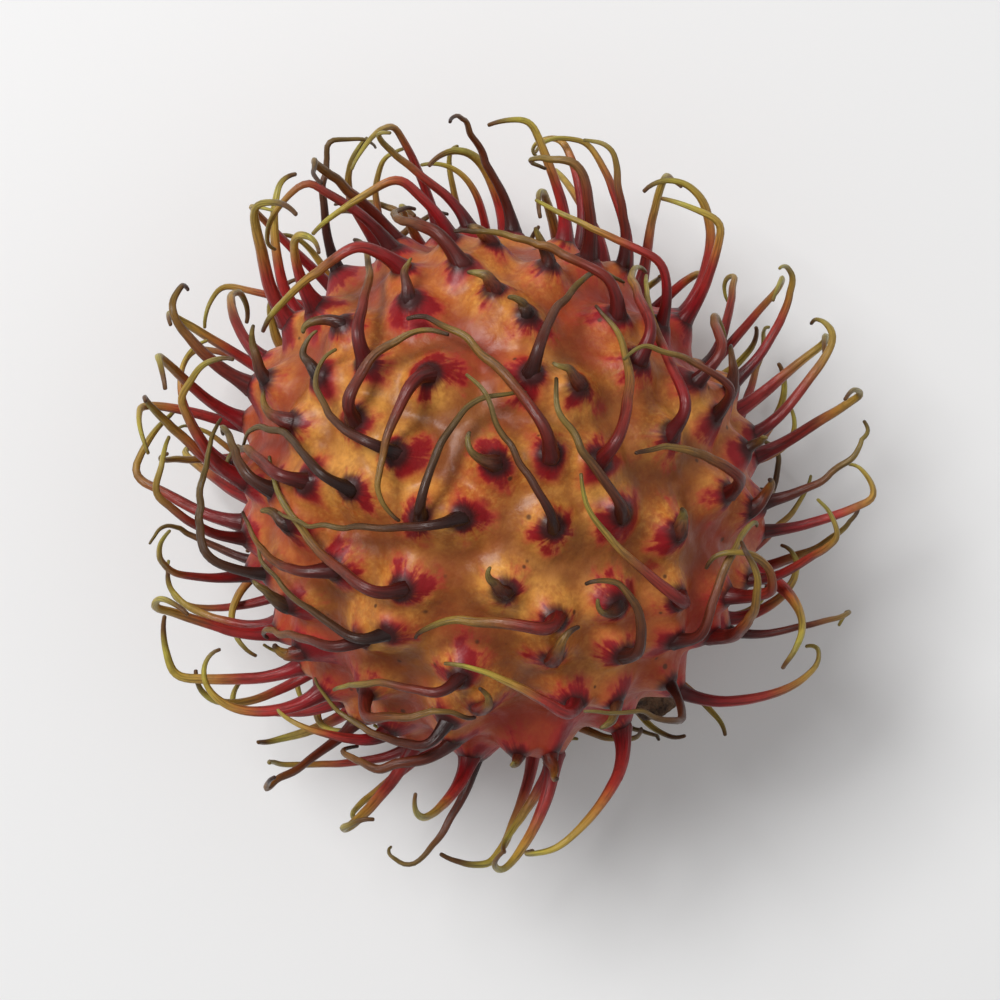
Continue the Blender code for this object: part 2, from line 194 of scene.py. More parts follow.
class FruitBody:
    """The smooth ovoid under the cushions, in its own axes and as it lies."""

    def __init__(self, sizes: BodySizes) -> None:
        """Work out the ovoid and the place where it lies.

        Args:
            sizes: Sizes of the body.
        """
        self.sizes = sizes
        self.half = Vector((sizes.breadth, sizes.length, sizes.depth)) / 2
        self.half -= Vector((1, 1, 1)) * sizes.cushion_share * sizes.cushion_height
        self.to_world = self.resting_place()
        self.to_fruit = self.to_world.inverted()
        self.turn = self.to_world.to_3x3()

    def point(self, direction: Vector) -> Vector:
        """Find a point of the ovoid.

        Args:
            direction: Unit direction that it lies in.

        Returns:
            The point, in the fruit's axes.
        """
        girth = 1 - self.sizes.egg * direction.y
        across = self.half.x * girth * direction.x
        deep = self.half.z * girth * direction.z
        return Vector((across, self.half.y * direction.y, deep))

    def height(self, point: Vector) -> tuple[float, Vector]:
        """Measure how high a point is above the ovoid.

        Args:
            point: The point, in the fruit's axes.

        Returns:
            Its height, and the direction away from the ovoid there.
        """
        half = self.half
        girth = 1 - self.sizes.egg * point.y / half.y
        scaled = Vector((point.x / (half.x * girth), point.y / half.y, point.z / (half.z * girth)))
        size = scaled.length
        away = Vector((scaled.x / half.x, scaled.y / half.y, scaled.z / half.z)).normalized()
        return point.length * (1 - 1 / size), away

    def resting_place(self) -> Matrix:
        """Lay the fruit down, with its pressed spot's middle at the origin.

        Returns:
            The turn and place that do so.
        """
        turn = Matrix.Rotation(self.sizes.tilt, 4, 'X')
        circle = [math.radians(tenth / 10) for tenth in range(TENTHS)]
        outline = [turn @ self.point(Vector((0, math.cos(a), math.sin(a)))) for a in circle]
        lowest = min(outline, key=lambda point: point.z)
        shift = Vector((0, -lowest.y, -lowest.z - self.sizes.press_depth))
        return Matrix.Translation(shift) @ turn

    def points_and_normals(self, directions: np.ndarray) -> tuple[np.ndarray, np.ndarray]:
        """Find many points of the ovoid.

        Args:
            directions: Unit directions, one in each row.

        Returns:
            The points and the outward directions, both in the fruit's axes.
        """
        half = np.array(self.half)
        girth = 1 - self.sizes.egg * directions[:, 1:2]
        ones = np.ones_like(girth)
        points = directions * half * np.hstack([girth, ones, girth])
        away = directions / half
        return points, away / np.linalg.norm(away, axis=1, keepdims=True)


class Cushions:
    """The raised cushions, one under each spine."""

    def __init__(self, body: FruitBody, directions: list[Vector]) -> None:
        """Remember where the cushions stand.

        Args:
            body: The ovoid that they stand on.
            directions: Unit direction of each cushion.
        """
        self.body = body
        self.directions = directions
        self.tree = KDTree(len(directions))
        for index, direction in enumerate(directions):
            self.tree.insert(body.point(direction), index)
        self.tree.balance()

    def relief(self, point: Vector, own: int | None = None) -> float:
        """Measure how high the cushions are at a point of the ovoid.

        Args:
            point: The point, in the fruit's axes.
            own: Number of a cushion to leave out.

        Returns:
            The height above the ovoid.
        """
        sizes = self.body.sizes
        height = 0.0
        for _, index, distance in self.tree.find_n(point, 4):
            if index != own:
                height += math.exp(-(distance / sizes.cushion_radius) ** 2)
        rise = (self.body.to_world @ point).z
        bare = smoothstep(0, sizes.cushion_fade, rise)
        if point.y < 0:
            bare *= smoothstep(*sizes.dimple_radii, math.hypot(point.x, point.z))
        return sizes.cushion_height * min(height, sizes.cushion_limit) * bare


@dataclass
class Spine:
    """One spine: its middle line from the skin to the tip, and its character."""

    points: list[Vector]
    length: float
    away: Vector
    wear: SpineWear
    age: float
    tone: float

    def lean(self) -> Vector:
        """Unit direction along the skin that the spine leans towards."""
        run = self.points[LEANT_STEP] - self.points[0]
        return (run - self.away * run.dot(self.away)).normalized()


class SpineGrowth:
    """The rule by which the spines are spread over the skin and grow."""

    def __init__(self, body: FruitBody, sizes: SpineSizes, lie: SpineLie) -> None:
        """Spread the spines and grow them.

        Args:
            body: The ovoid that they stand on.
            sizes: Sizes of the spines.
            lie: How they lie.
        """
        self.body = body
        self.sizes = sizes
        self.lie = lie
        self.rng = random.Random(sizes.seed)
        self.cushions = Cushions(body, self.spread())
        self.spines = self.grow_all()

    def spread(self) -> list[Vector]:
        """Spread the spines evenly, each a little astray.

        Returns:
            Unit directions of the spines, in the fruit's axes.
        """
        sizes = self.sizes
        directions = []
        for index in range(sizes.count):
            along = 1 - 2 * (index + 0.5) / sizes.count
            across = math.sqrt(1 - along * along)
            angle = GOLDEN_ANGLE * index
            stray = Vector([self.rng.gauss(0, sizes.scatter) for _ in range(3)])
            even = Vector((across * math.cos(angle), along, across * math.sin(angle)))
            direction = (even + stray).normalized()
            point = self.body.point(direction)
            bare = self.body.sizes.dimple_radii[1] - 1 * MM
            by_stalk = point.y < 0 and math.hypot(point.x, point.z) < bare
            under = (self.body.to_world @ point).z < sizes.lowest
            if not by_stalk and not under:
                directions.append(direction)
        return directions

    def radius(self, distance: float, length: float) -> float:
        """Radius of a spine at a place along it.

        Args:
            distance: Distance of the place from the skin.
            length: Length of the spine.

        Returns:
            The radius.
        """
        sizes = self.sizes
        part = min(max(distance / length, 0.0), 1.0)
        taper = mix(sizes.shaft_radius, sizes.tip_radius, part ** sizes.taper_power)
        return taper + sizes.flare_radius * math.exp(-max(distance, 0.0) / sizes.flare_length)

    def facing_top(self, away: Vector) -> float:
        """How far the skin that faces this way counts as the fruit's top."""
        return smoothstep(*self.lie.top_facing, away.z)

    def leaning(self, away: Vector, place: Vector) -> tuple[Vector, float]:
        """Draw which way a spine leans, and how far.

        Args:
            away: Outward direction of the skin.
            place: Where the spine stands.

        Returns:
            The direction along the skin that it leans towards, and the angle that it leans by.
        """
        lie = self.lie
        top = self.facing_top(away)
        under = smoothstep(*lie.under_facing, -away.z)
        far_end = self.body.turn @ Vector((0, 1, 0))
        outward = Vector((place.x, place.y, 0)).normalized()
        towards = far_end * (1 - under) + outward * lie.outward_pull * under
        towards = towards - away * towards.dot(away)
        if towards.length < lie.least_run:
            towards = away.orthogonal()
        spread = lie.turn_spread * mix(1.0, lie.under_spread, under)
        towards = Quaternion(away, self.rng.gauss(0, spread)) @ towards.normalized()
        lean = mix(mix(lie.lean_side, lie.lean_top, top), lie.lean_under, under)
        return towards, lean + self.rng.gauss(0, lie.lean_spread)

    def bend_axis(self, away: Vector, towards: Vector) -> Vector:
        """Draw the axis that a spine curls about: across the skin on top, any way at the sides.

        Args:
            away: Outward direction of the skin.
            towards: Direction along the skin that the spine leans towards.

        Returns:
            The axis.
        """
        flat = away * self.rng.choice((-1, 1))
        over = away.cross(towards)
        side, top = self.rng.uniform(*self.lie.flat_side), self.rng.uniform(*self.lie.flat_top)
        share = mix(side, top, self.facing_top(away))
        return (flat * share + over * (1 - share)).normalized()

    def grow(self, index: int, length: float) -> tuple[list[Vector], float]:
        """Grow a spine's middle line from the skin to the tip, a point for each step.

        Args:
            index: Number of the spine.
            length: Its length.

        Returns:
            The points, in world axes, and the least space between the spine and the skin.
        """
        body, lie, steps = self.body, self.lie, self.sizes.steps
        base = body.point(self.cushions.directions[index])
        _, away = body.height(base)
        start = base + away * self.cushions.relief(base)
        place = body.to_world @ start
        away = body.turn @ away
        towards, lean = self.leaning(away, place)
        heading = away * math.cos(lean * lie.root_lean) + towards * math.sin(lean * lie.root_lean)
        over = away.cross(towards)
        axis = self.bend_axis(away, towards)
        hook = self.rng.uniform(*lie.hook_range) * mix(1.0, lie.hook_top, self.facing_top(away))
        sway = self.rng.uniform(-lie.sway, lie.sway)
        stride = length / steps
        ceiling = mix(lie.side_height, lie.top_height, smoothstep(*lie.height_facing, away.z))
        points = [place.copy()]
        lowest = lie.enough_room
        for step in range(1, steps + 1):
            part = step / steps
            curl = hook * (lie.hook_start + 4 * (1 - lie.hook_start) * part ** 3) / steps
            wave = sway * math.cos(part * lie.sway_turns * math.tau) / steps
            heading = Quaternion(axis, curl + wave) @ heading
            if part <= lie.lean_length:
                share = (1 - lie.root_lean) / (lie.lean_length * steps)
                heading = Quaternion(over, lean * share) @ heading
            local = body.to_fruit @ (place + heading * lie.look_ahead)
            height, out = body.height(local)
            foot = local * (1 - height / local.length)
            out = body.turn @ out
            radius = self.radius(stride * step, length)
            clear = smoothstep(*lie.clear_range, stride * step)
            own = index if clear < 1 else None
            need = (self.cushions.relief(foot, own) + radius + lie.skin_gap) * clear
            if clear == 1:
                lowest = min(lowest, height - need + lie.skin_gap)
            if height < need:
                heading += out * lie.steering * min((need - height) / MM, lie.steering_limits[0])
            if height > ceiling:
                heading -= out * lie.steering * min((height - ceiling) / MM, lie.steering_limits[1])
            floor = self.sizes.facet_growth * radius + lie.surface_gap
            if place.z < floor + lie.surface_ease and heading.z < 0:
                heading.z *= smoothstep(0, lie.surface_ease, place.z - floor)
            heading.normalize()
            place = place + heading * stride
            place.z = max(place.z, floor)
            points.append(place.copy())
        return points, lowest

    def radii(self, length: float) -> np.ndarray:
        """Radius of a spine at each of its steps."""
        steps = self.sizes.steps
        return np.array([self.radius(length * step / steps, length) for step in range(steps + 1)])

    def room(
        self, points: list[Vector], radii: np.ndarray, placed: list[tuple[np.ndarray, np.ndarray]]
    ) -> float:
        """Measure the least space between a spine and those already placed.

        Args:
            points: Middle line of the spine.
            radii: Its radius at each point.
            placed: Middle lines and radii of the spines already placed.

        Returns:
            The space, at most as much as is enough.
        """
        if not placed:
            return self.lie.enough_room
        first = self.sizes.root_steps
        others = np.concatenate([line for line, _ in placed])
        other_radii = np.concatenate([own for _, own in placed])
        line = np.array(points)[first:]
        apart = np.linalg.norm(line[:, None, :] - others[None, :, :], axis=2)
        space = apart - radii[first:, None] - other_radii[None, :]
        return min(float(space.min()), self.lie.enough_room)

    def length_of(self, away: Vector) -> tuple[float, bool]:
        """Draw the length of a spine.

        Args:
            away: Outward direction of the skin under it.

        Returns:
            The length, and whether it is worn to a stub, as some are on top.
        """
        sizes = self.sizes
        drawn = self.rng.gauss(sizes.length_mean, sizes.length_spread)
        full = min(max(drawn, sizes.length_range[0]), sizes.length_range[1])
        stub = self.rng.uniform(*sizes.worn_range)
        worn = self.rng.random() < sizes.worn_share and away.z > sizes.worn_from
        return (stub if worn else full), worn

    def grow_all(self) -> list[Spine]:
        """Grow every spine, each the clearest of a few tries.

        Returns:
            The spines.
        """
        spines = []
        placed = []
        character = random.Random(self.sizes.seed + 1)
        for index, direction in enumerate(self.cushions.directions):
            _, away = self.body.height(self.body.point(direction))
            away = self.body.turn @ away
            length, worn = self.length_of(away)
            radii = self.radii(length)
            tries = [self.grow(index, length) for _ in range(self.sizes.trials)]
            rooms = [min(self.room(points, radii, placed), lowest) for points, lowest in tries]
            best, _ = tries[rooms.index(max(rooms))]
            placed.append((np.array(best), radii))
            wear, draw = self.keeping(away, worn, character)
            age = mix(*wear.value, draw)
            spines.append(Spine(best, length, away, wear, age, character.random()))
        return spines

    def keeping(self, away: Vector, worn: bool, character: random.Random) -> tuple[SpineWear, float]:
        """Draw how a spine has kept: most on top are dry, most at the sides are fresh.

        Args:
            away: Outward direction of the skin under the spine.
            worn: Whether the spine is worn to a stub.
            character: Source of the spine's own draws.

        Returns:
            Its wear, and where its age lies among the ages of that wear, from 0 to 1.
        """
        dry_share = mix(*self.sizes.dry_shares, smoothstep(*self.sizes.dry_facing, away.z))
        dry = character.random() < dry_share
        draw = character.random()
        if worn:
            return SpineWear.STUB, draw
        return (SpineWear.DRY if dry else SpineWear.FRESH), draw


class Drawing:
    """A node tree being drawn, with short ways to add nodes and join them."""

    def __init__(self, tree: bpy.types.NodeTree) -> None:
        """Start on an empty tree."""
        self.tree = tree
        tree.nodes.clear()

    def add(self, kind: str, sockets: dict | None = None, **settings: object) -> bpy.types.Node:
        """Add a node.

        Args:
            kind: The node's type.
            sockets: Value or source socket for each input, by name or number.
            **settings: The node's own settings.

        Returns:
            The new node.
        """
        node = self.tree.nodes.new(kind)
        for name, value in settings.items():
            setattr(node, name, value)
        for name, value in (sockets or {}).items():
            if isinstance(value, Socket):
                self.tree.links.new(value, node.inputs[name])
            else:
                node.inputs[name].default_value = value
        return node

    def attribute(self, name: str, output: str = "Fac") -> Socket:
        """Value that the mesh holds at each of its points."""
        return self.add("ShaderNodeAttribute", attribute_name=name).outputs[output]

    def place(self) -> Socket:
        """Place on the object, in metres."""
        return self.add("ShaderNodeTexCoord").outputs["Object"]

    def maths(self, operation: str, first: object, second: object = 0.0) -> Socket:
        """One step of arithmetic on numbers."""
        return self.add("ShaderNodeMath", {0: first, 1: second}, operation=operation).outputs[0]

    def centred(self, value: object, reach: float) -> Socket:
        """Value from 0 to 1, moved so that its middle is 0, and stretched by reach."""
        return self.maths('MULTIPLY', self.maths('SUBTRACT', value, 0.5), reach)

    def vector(self, operation: str, first: object, second: object = (0, 0, 0)) -> Socket:
        """One step of arithmetic on vectors."""
        return self.add("ShaderNodeVectorMath", {0: first, 1: second}, operation=operation).outputs[0]

    def length(self, across: object, along: object) -> Socket:
        """Length of the vector that goes so far across and so far along."""
        flat = self.add("ShaderNodeCombineXYZ", {0: across, 1: along}).outputs[0]
        return self.add("ShaderNodeVectorMath", {0: flat}, operation='LENGTH').outputs["Value"]

    def rise(self, value: object, low: object, high: object, top: float = 1.0) -> Socket:
        """Draw a mask that rises smoothly.

        Args:
            value: What it goes by.
            low: Value at which it is 0.
            high: Value at which it is full.
            top: The full mask.

        Returns:
            The mask.
        """
        sockets = {"Value": value, "From Min": low, "From Max": high, "To Max": top}
        node = self.add("ShaderNodeMapRange", sockets, interpolation_type='SMOOTHSTEP')
        return node.outputs["Result"]

    def between(self, share: object, ends: tuple[float, float]) -> Socket:
        """Value that goes from one end to the other as share goes from 0 to 1."""
        sockets = {"Value": share, "To Min": ends[0], "To Max": ends[1]}
        return self.add("ShaderNodeMapRange", sockets).outputs["Result"]

    def blend(self, share: object, first: object, second: object) -> Socket:
        """Colour between two others."""
        return self.add("ShaderNodeMix", {0: share, 6: first, 7: second}, data_type='RGBA').outputs[2]

    def cover(self, colour: object, layers: Sequence[tuple[Socket, Colour]]) -> object:
        """Lay colours over another one.

        Args:
            colour: The colour underneath.
            layers: Share and colour of each layer, from the lowest.

        Returns:
            The colour on top.
        """
        for share, tint in layers:
            colour = self.blend(share, colour, tint)
        return colour

    def ramp(self, value: object, stops: Stops) -> Socket:
        """Choose from a row of colours.

        Args:
            value: What it goes by, from 0 to 1.
            stops: Value and colour at each stop.

        Returns:
            The colour.
        """
        node = self.add("ShaderNodeValToRGB", {0: value})
        elements = node.color_ramp.elements
        while len(elements) < len(stops):
            elements.new(1.0)
        for element, (position, colour) in zip(elements, stops):
            element.position = position
            element.color = colour
        return node.outputs["Color"]

    def noise(self, place: object, scale: object, detail: float = 3.0) -> Socket:
        """Soft noise from 0 to 1."""
        sockets = {"Vector": place, "Scale": scale, "Detail": detail, "Roughness": NOISE_ROUGHNESS}
        return self.add("ShaderNodeTexNoise", sockets).outputs[0]

    def stray(self, place: Socket, scale: object, detail: float, reach: float) -> Socket:
        """Move a place by noise.

        Args:
            place: The place.
            scale: How fine the noise is.
            detail: How many finer noises it holds.
            reach: How far the place moves at most.

        Returns:
            The moved place.
        """
        sockets = {"Vector": place, "Scale": scale, "Detail": detail}
        wander = self.add("ShaderNodeTexNoise", sockets).outputs["Color"]
        shift = self.add("ShaderNodeVectorMath", {0: wander, "Scale": reach}, operation='SCALE')
        return self.vector('ADD', place, shift.outputs[0])

    def bump(self, height: object, depth: float, strength: float = 1.0) -> Socket:
        """Surface direction, tilted by a height."""
        sockets = {"Height": height, "Distance": depth, "Strength": strength}
        return self.add("ShaderNodeBump", sockets).outputs["Normal"]


@dataclass(frozen=True)
class Patches:
    """Soft patches: how fine they are, and the noise where their mask starts and is full."""

    scale: float
    low: float
    high: float


@dataclass(frozen=True)
class Dots:
    """Scattered dots: how fine they lie, and their size, edge, core, share left out and strength."""

    scale: float
    size: float
    edge: float
    core: float
    left_out: float
    strength: float


class SharedEffects:
    """Effects that more than one finish uses, each built once as a node group."""

    finer: float = 4.3
    patch_shares: tuple[float, float] = (0.65, 0.35)
    stray_scale: float = 0.5
    stray: tuple[float, float] = (2.0, 0.6 * MM)
    crease_rise: tuple[float, float, float] = (0.75, 0.25, 0.45)
    speck_scale: float = 2.7

    def __init__(self) -> None:
        """Build the groups."""
        self.mottle = self.build_mottle()
        self.grain = self.build_grain()

    @staticmethod
    def new_group(
        name: str, inputs: Sequence[tuple[str, str]], output: str
    ) -> tuple[Drawing, list[Socket], bpy.types.Node]:
        """Start a node group with named sockets.

        Args:
            name: The group's name.
            inputs: Name and type of each input.
            output: Name of its output, a number.

        Returns:
            The drawing, its inputs and its output node.
        """
        tree = bpy.data.node_groups.new(name, 'ShaderNodeTree')
        drawing = Drawing(tree)
        for socket, kind in inputs:
            tree.interface.new_socket(name=socket, in_out='INPUT', socket_type=kind)
        tree.interface.new_socket(name=output, in_out='OUTPUT', socket_type='NodeSocketFloat')
        given = drawing.add("NodeGroupInput").outputs
        return drawing, [given[socket] for socket, _ in inputs], drawing.add("NodeGroupOutput")

    def build_mottle(self) -> bpy.types.NodeTree:
        """Build soft patches: a mask from two sizes of noise, with a set contrast.

        Returns:
            The node group.
        """
        inputs = [("Place", 'NodeSocketVector'), ("Patch Scale", 'NodeSocketFloat')]
        inputs += [("Low", 'NodeSocketFloat'), ("High", 'NodeSocketFloat')]
        drawing, (place, scale, low, high), result = self.new_group("mottle", inputs, "Mask")
        large = drawing.noise(place, scale, 2.0)
        small = drawing.noise(place, drawing.maths('MULTIPLY', scale, self.finer))
        share = drawing.maths('MULTIPLY', large, self.patch_shares[0])
        rest = drawing.maths('MULTIPLY', small, self.patch_shares[1])
        mask = drawing.rise(drawing.maths('ADD', share, rest), low, high)
        drawing.tree.links.new(mask, result.inputs["Mask"])
        return drawing.tree

    def build_grain(self) -> bpy.types.NodeTree:
        """Build fine leathery grain: the height of small uneven cells, broken up by noise.

        Returns:
            The node group.
        """
        inputs = [("Place", 'NodeSocketVector'), ("Cell Scale", 'NodeSocketFloat')]
        inputs += [("Depth", 'NodeSocketFloat')]
        drawing, (place, scale, depth), result = self.new_group("leather_grain", inputs, "Height")
        moved = drawing.stray(place, drawing.maths('MULTIPLY', scale, self.stray_scale), *self.stray)
        cells = drawing.add("ShaderNodeTexVoronoi", {"Vector": moved, "Scale": scale})
        crease = drawing.rise(cells.outputs["Distance"], *self.crease_rise)
        speck = drawing.noise(place, drawing.maths('MULTIPLY', scale, self.speck_scale), 4.0)
        both = drawing.maths('ADD', crease, speck)
        drawing.tree.links.new(drawing.maths('MULTIPLY', both, depth), result.inputs["Height"])
        return drawing.tree

    def patches(self, drawing: Drawing, place: Socket, patches: Patches) -> Socket:
        """Mask of soft patches."""
        sockets = {"Place": place, "Patch Scale": patches.scale, "Low": patches.low, "High": patches.high}
        return drawing.add("ShaderNodeGroup", sockets, node_tree=self.mottle).outputs["Mask"]

    def leather(self, drawing: Drawing, place: Socket, scale: float, depth: float) -> Socket:
        """Height of leathery grain."""
        sockets = {"Place": place, "Cell Scale": scale, "Depth": depth}
        return drawing.add("ShaderNodeGroup", sockets, node_tree=self.grain).outputs["Height"]


@dataclass(frozen=True)
class Star:
    """The crimson star round each spine, in millimetres.

    Streaks, lobes and blots fray its edge. Each has the scale, detail and reach of its noise.
    """

    behind: float = 0.45
    lift: float = 40.0
    streaks: tuple[float, float, float] = (5.0, 3.0, 2.2)
    lobes: tuple[float, float, float] = (0.9, 0.0, 3.4)
    blots: tuple[float, float, float] = (800.0, 3.0, 4.2)
    fade: tuple[float, float] = (0.9, -1.2)
    border: tuple[float, float] = (0.2, 2.2)
    strength: float = 0.92
    ring_edge: tuple[float, float] = (1.5, 0.8)
    ring_strength: float = 0.9

    def masks(self, drawing: Drawing, place: Socket) -> tuple[Socket, Socket]:
        """Draw the star, and the dark ring at the spine's root.

        Args:
            drawing: The skin's drawing.
            place: Place on the skin.

        Returns:
            The masks of the two.
        """
        offset = drawing.attribute("spine_offset", "Vector")
        lean, side, tone = drawing.add("ShaderNodeSeparateXYZ", {0: offset}).outputs
        behind = drawing.maths('ADD', lean, self.behind)
        flat = drawing.add("ShaderNodeCombineXYZ", {0: behind, 1: side}).outputs[0]
        lift = drawing.add("ShaderNodeCombineXYZ", {2: drawing.maths('MULTIPLY', tone, self.lift)})
        around = drawing.vector('ADD', drawing.vector('NORMALIZE', flat), lift.outputs[0])
        sources = ((around, self.streaks), (around, self.lobes), (place, self.blots))
        frays = []
        for source, (scale, detail, reach) in sources:
            frays.append(drawing.centred(drawing.noise(source, scale, detail), reach))
        edge = drawing.attribute("star_size")
        for fray in frays:
            edge = drawing.maths('ADD', edge, fray)
        outer, inner = (drawing.maths('ADD', edge, fade) for fade in self.fade)
        inside = drawing.rise(drawing.attribute("border"), *self.border)
        star = drawing.rise(drawing.length(behind, side), outer, inner, self.strength)
        ring_edge = drawing.maths('ADD', drawing.maths('MULTIPLY', frays[0], 0.5), self.ring_edge[0])
        near = drawing.length(lean, side)
        ring = drawing.rise(near, ring_edge, self.ring_edge[1], self.ring_strength)
        return drawing.maths('MULTIPLY', star, inside), drawing.maths('MULTIPLY', ring, inside)


@dataclass(frozen=True)
class SkinFinish:
    """Waxy orange skin, with a crimson star round each spine."""

    light: Colour = srgb(212, 148, 66)
    ground: Colour = srgb(182, 106, 38)
    brown: Colour = srgb(116, 54, 18)
    blush: Colour = srgb(156, 32, 26)
    rim: Colour = srgb(172, 30, 38)
    halo: Colour = srgb(130, 4, 16)
    root: Colour = srgb(34, 10, 8)
    pore: Colour = srgb(74, 40, 16)
    broad: Patches = Patches(130.0, 0.38, 0.64)
    fine: Patches = Patches(700.0, 0.36, 0.66)
    fine_share: float = 0.5
    speck_scale: float = 2600.0
    speck_rise: tuple[float, float, float] = (0.45, 0.66, 0.55)
    # painted shade: how far the valleys between the cushions are browned, going by the cushions' height
    valley_shade_rise: tuple[float, float, float] = (0.6, 0.12, 0.8)
    halo_rise: tuple[float, float, float] = (0.45, 0.92, 0.9)
    star: Star = Star()
    freckles: Dots = Dots(230.0, 0.2, 0.1, 0.3, 0.5, 0.8)
    freckle_stray: tuple[float, float, float] = (1500.0, 3.0, 1.3 * MM)
    pores: Dots = Dots(520.0, 0.1, 0.09, 1.0, 0.35, 0.85)
    sheen: Patches = Patches(420.0, 0.3, 0.7)
    roughness: tuple[float, float] = (0.38, 0.58)
    grain: tuple[float, float] = (1500.0, 0.4)
    bump: tuple[float, float] = (0.16 * MM, 0.5)
    specular: float = 0.3
    coat: tuple[float, float] = (0.06, 0.22)

    def material(self, effects: SharedEffects) -> bpy.types.Material:
        """Build the skin's material.

        Args:
            effects: The shared effects.

        Returns:
            The material.
        """
        material, drawing = new_material("rambutan_skin")
        place = drawing.place()
        star, ring = self.star.masks(drawing, place)
        frayed = drawing.stray(place, *self.freckle_stray)
        layers = [
            (self.dots(drawing, frayed, self.freckles), self.halo),
            (star, self.rim),
            (drawing.rise(star, *self.halo_rise), self.halo),
            (ring, self.root),
            (self.dots(drawing, place, self.pores), self.pore),
        ]
        grain = effects.leather(drawing, place, *self.grain)
        sockets = {
            "Base Color": drawing.cover(self.ground_colour(drawing, effects, place), layers),
            "Roughness": drawing.between(effects.patches(drawing, place, self.sheen), self.roughness),
            "Normal": drawing.bump(grain, *self.bump),
            "Specular IOR Level": self.specular,
            "Coat Weight": self.coat[0],
            "Coat Roughness": self.coat[1],
        }
        close_material(drawing, sockets)
        return material

    def ground_colour(self, drawing: Drawing, effects: SharedEffects, place: Socket) -> Socket:
        """Colour the bare skin: orange and blushed, with painted shade: lighter on the cushions, browner
        between.

        Args:
            drawing: The skin's drawing.
            effects: The shared effects.
            place: Place on the skin.

        Returns:
            The colour.
        """
        speck = drawing.noise(place, self.speck_scale, 2.0)
        fine = effects.patches(drawing, place, self.fine)
        layers = [
            (effects.patches(drawing, place, self.broad), self.light),
            (drawing.rise(speck, *self.speck_rise), self.light),
            # painted shade: brown in the valleys between the cushions, where the cushions are low
            (drawing.rise(drawing.attribute("cushion"), *self.valley_shade_rise), self.brown),
            (drawing.maths('MULTIPLY', fine, self.fine_share), self.brown),
            (drawing.attribute("blush"), self.blush),
        ]
        return drawing.cover(self.ground, layers)

    @staticmethod
    def dots(drawing: Drawing, place: Socket, dots: Dots) -> Socket:
        """Scatter dots over the skin.

        Args:
            drawing: The skin's drawing.
            place: Place on the skin.
            dots: The dots.

        Returns:
            Their mask.
        """
        cells = drawing.add("ShaderNodeTexVoronoi", {"Vector": place, "Scale": dots.scale})
        chosen, own, _ = drawing.add("ShaderNodeSeparateColor", {0: cells.outputs["Color"]}).outputs
        size = drawing.maths('MULTIPLY', own, dots.size)
        outer = drawing.maths('ADD', size, dots.edge)
        inner = drawing.maths('MULTIPLY', size, dots.core)
        dot = drawing.rise(cells.outputs["Distance"], outer, inner, dots.strength)
        return drawing.maths('MULTIPLY', dot, drawing.maths('GREATER_THAN', chosen, dots.left_out))


@dataclass(frozen=True)
class SpineFinish:
    """Soft satin spines: crimson with yellow-green ends when fresh, olive or rusty brown when dry."""

    fresh: Stops = (
        (0.0, srgb(88, 6, 10)),
        (0.14, srgb(146, 20, 28)),
        (0.38, srgb(170, 52, 44)),
        (0.60, srgb(184, 142, 62)),
        (0.86, srgb(176, 164, 66)),
        (1.0, srgb(112, 76, 36)),
    )
    olive: Stops = (
        (0.0, srgb(30, 10, 6)),
        (0.16, srgb(58, 32, 16)),
        (0.5, srgb(88, 66, 34)),
        (0.85, srgb(120, 100, 50)),
        (1.0, srgb(58, 38, 20)),
    )
    rust: Stops = (
        (0.0, srgb(34, 8, 6)),
        (0.2, srgb(74, 22, 12)),
        (0.6, srgb(102, 48, 22)),
        (0.85, srgb(122, 80, 34)),
        (1.0, srgb(52, 26, 14)),
    )
    # dark colour for painted shade in the spines' furrows and for the real dirt patches
    furrow_shade_and_dirt: Colour = srgb(30, 12, 8)
    tone_shift: float = 0.22
    rusty_rise: tuple[float, float] = (0.5, 0.62)
    dirt: Patches = Patches(700.0, 0.42, 0.72)
    dirt_share: float = 0.4
    fibre_scale: float = 2.6
    fibre_depth: float = -1.6
    # painted shade: where the fibre noise darkens the spines, the same noise that deepens their furrows
    furrow_shade_rise: tuple[float, float, float] = (0.42, 0.68, 0.55)
    roughness: tuple[float, float] = (0.34, 0.56)
    bump: tuple[float, float] = (0.08 * MM, 0.8)
    specular: float = 0.36

    def material(self, effects: SharedEffects) -> bpy.types.Material:
        """Build the spines' material.

        Args:
            effects: The shared effects.

        Returns:
            The material.
        """
        material, drawing = new_material("rambutan_spine")
        tone = drawing.attribute("tone")
        along = drawing.maths('ADD', drawing.attribute("along"), drawing.centred(tone, self.tone_shift))
        fresh, olive, rust = (drawing.ramp(along, stops) for stops in (self.fresh, self.olive, self.rust))
        dry = drawing.blend(drawing.rise(tone, *self.rusty_rise), olive, rust)
        colour = drawing.blend(drawing.attribute("age"), fresh, dry)
        patch = effects.patches(drawing, drawing.place(), self.dirt)
        fibre = drawing.noise(drawing.attribute("around", "Vector"), self.fibre_scale)
        # painted shade: dark streaks that follow the deepest furrows of the bump
        furrow_shade = drawing.rise(fibre, *self.furrow_shade_rise)
        # the dark mask holds both the painted shade in the furrows and the real dirt patches
        dark = drawing.maths('MAXIMUM', furrow_shade, drawing.maths('MULTIPLY', patch, self.dirt_share))
        furrow = drawing.maths('MULTIPLY', fibre, self.fibre_depth)
        sockets = {
            "Base Color": drawing.blend(dark, colour, self.furrow_shade_and_dirt),
            "Roughness": drawing.between(patch, self.roughness),
            "Normal": drawing.bump(furrow, *self.bump),
            "Specular IOR Level": self.specular,
        }
        close_material(drawing, sockets)
        return material


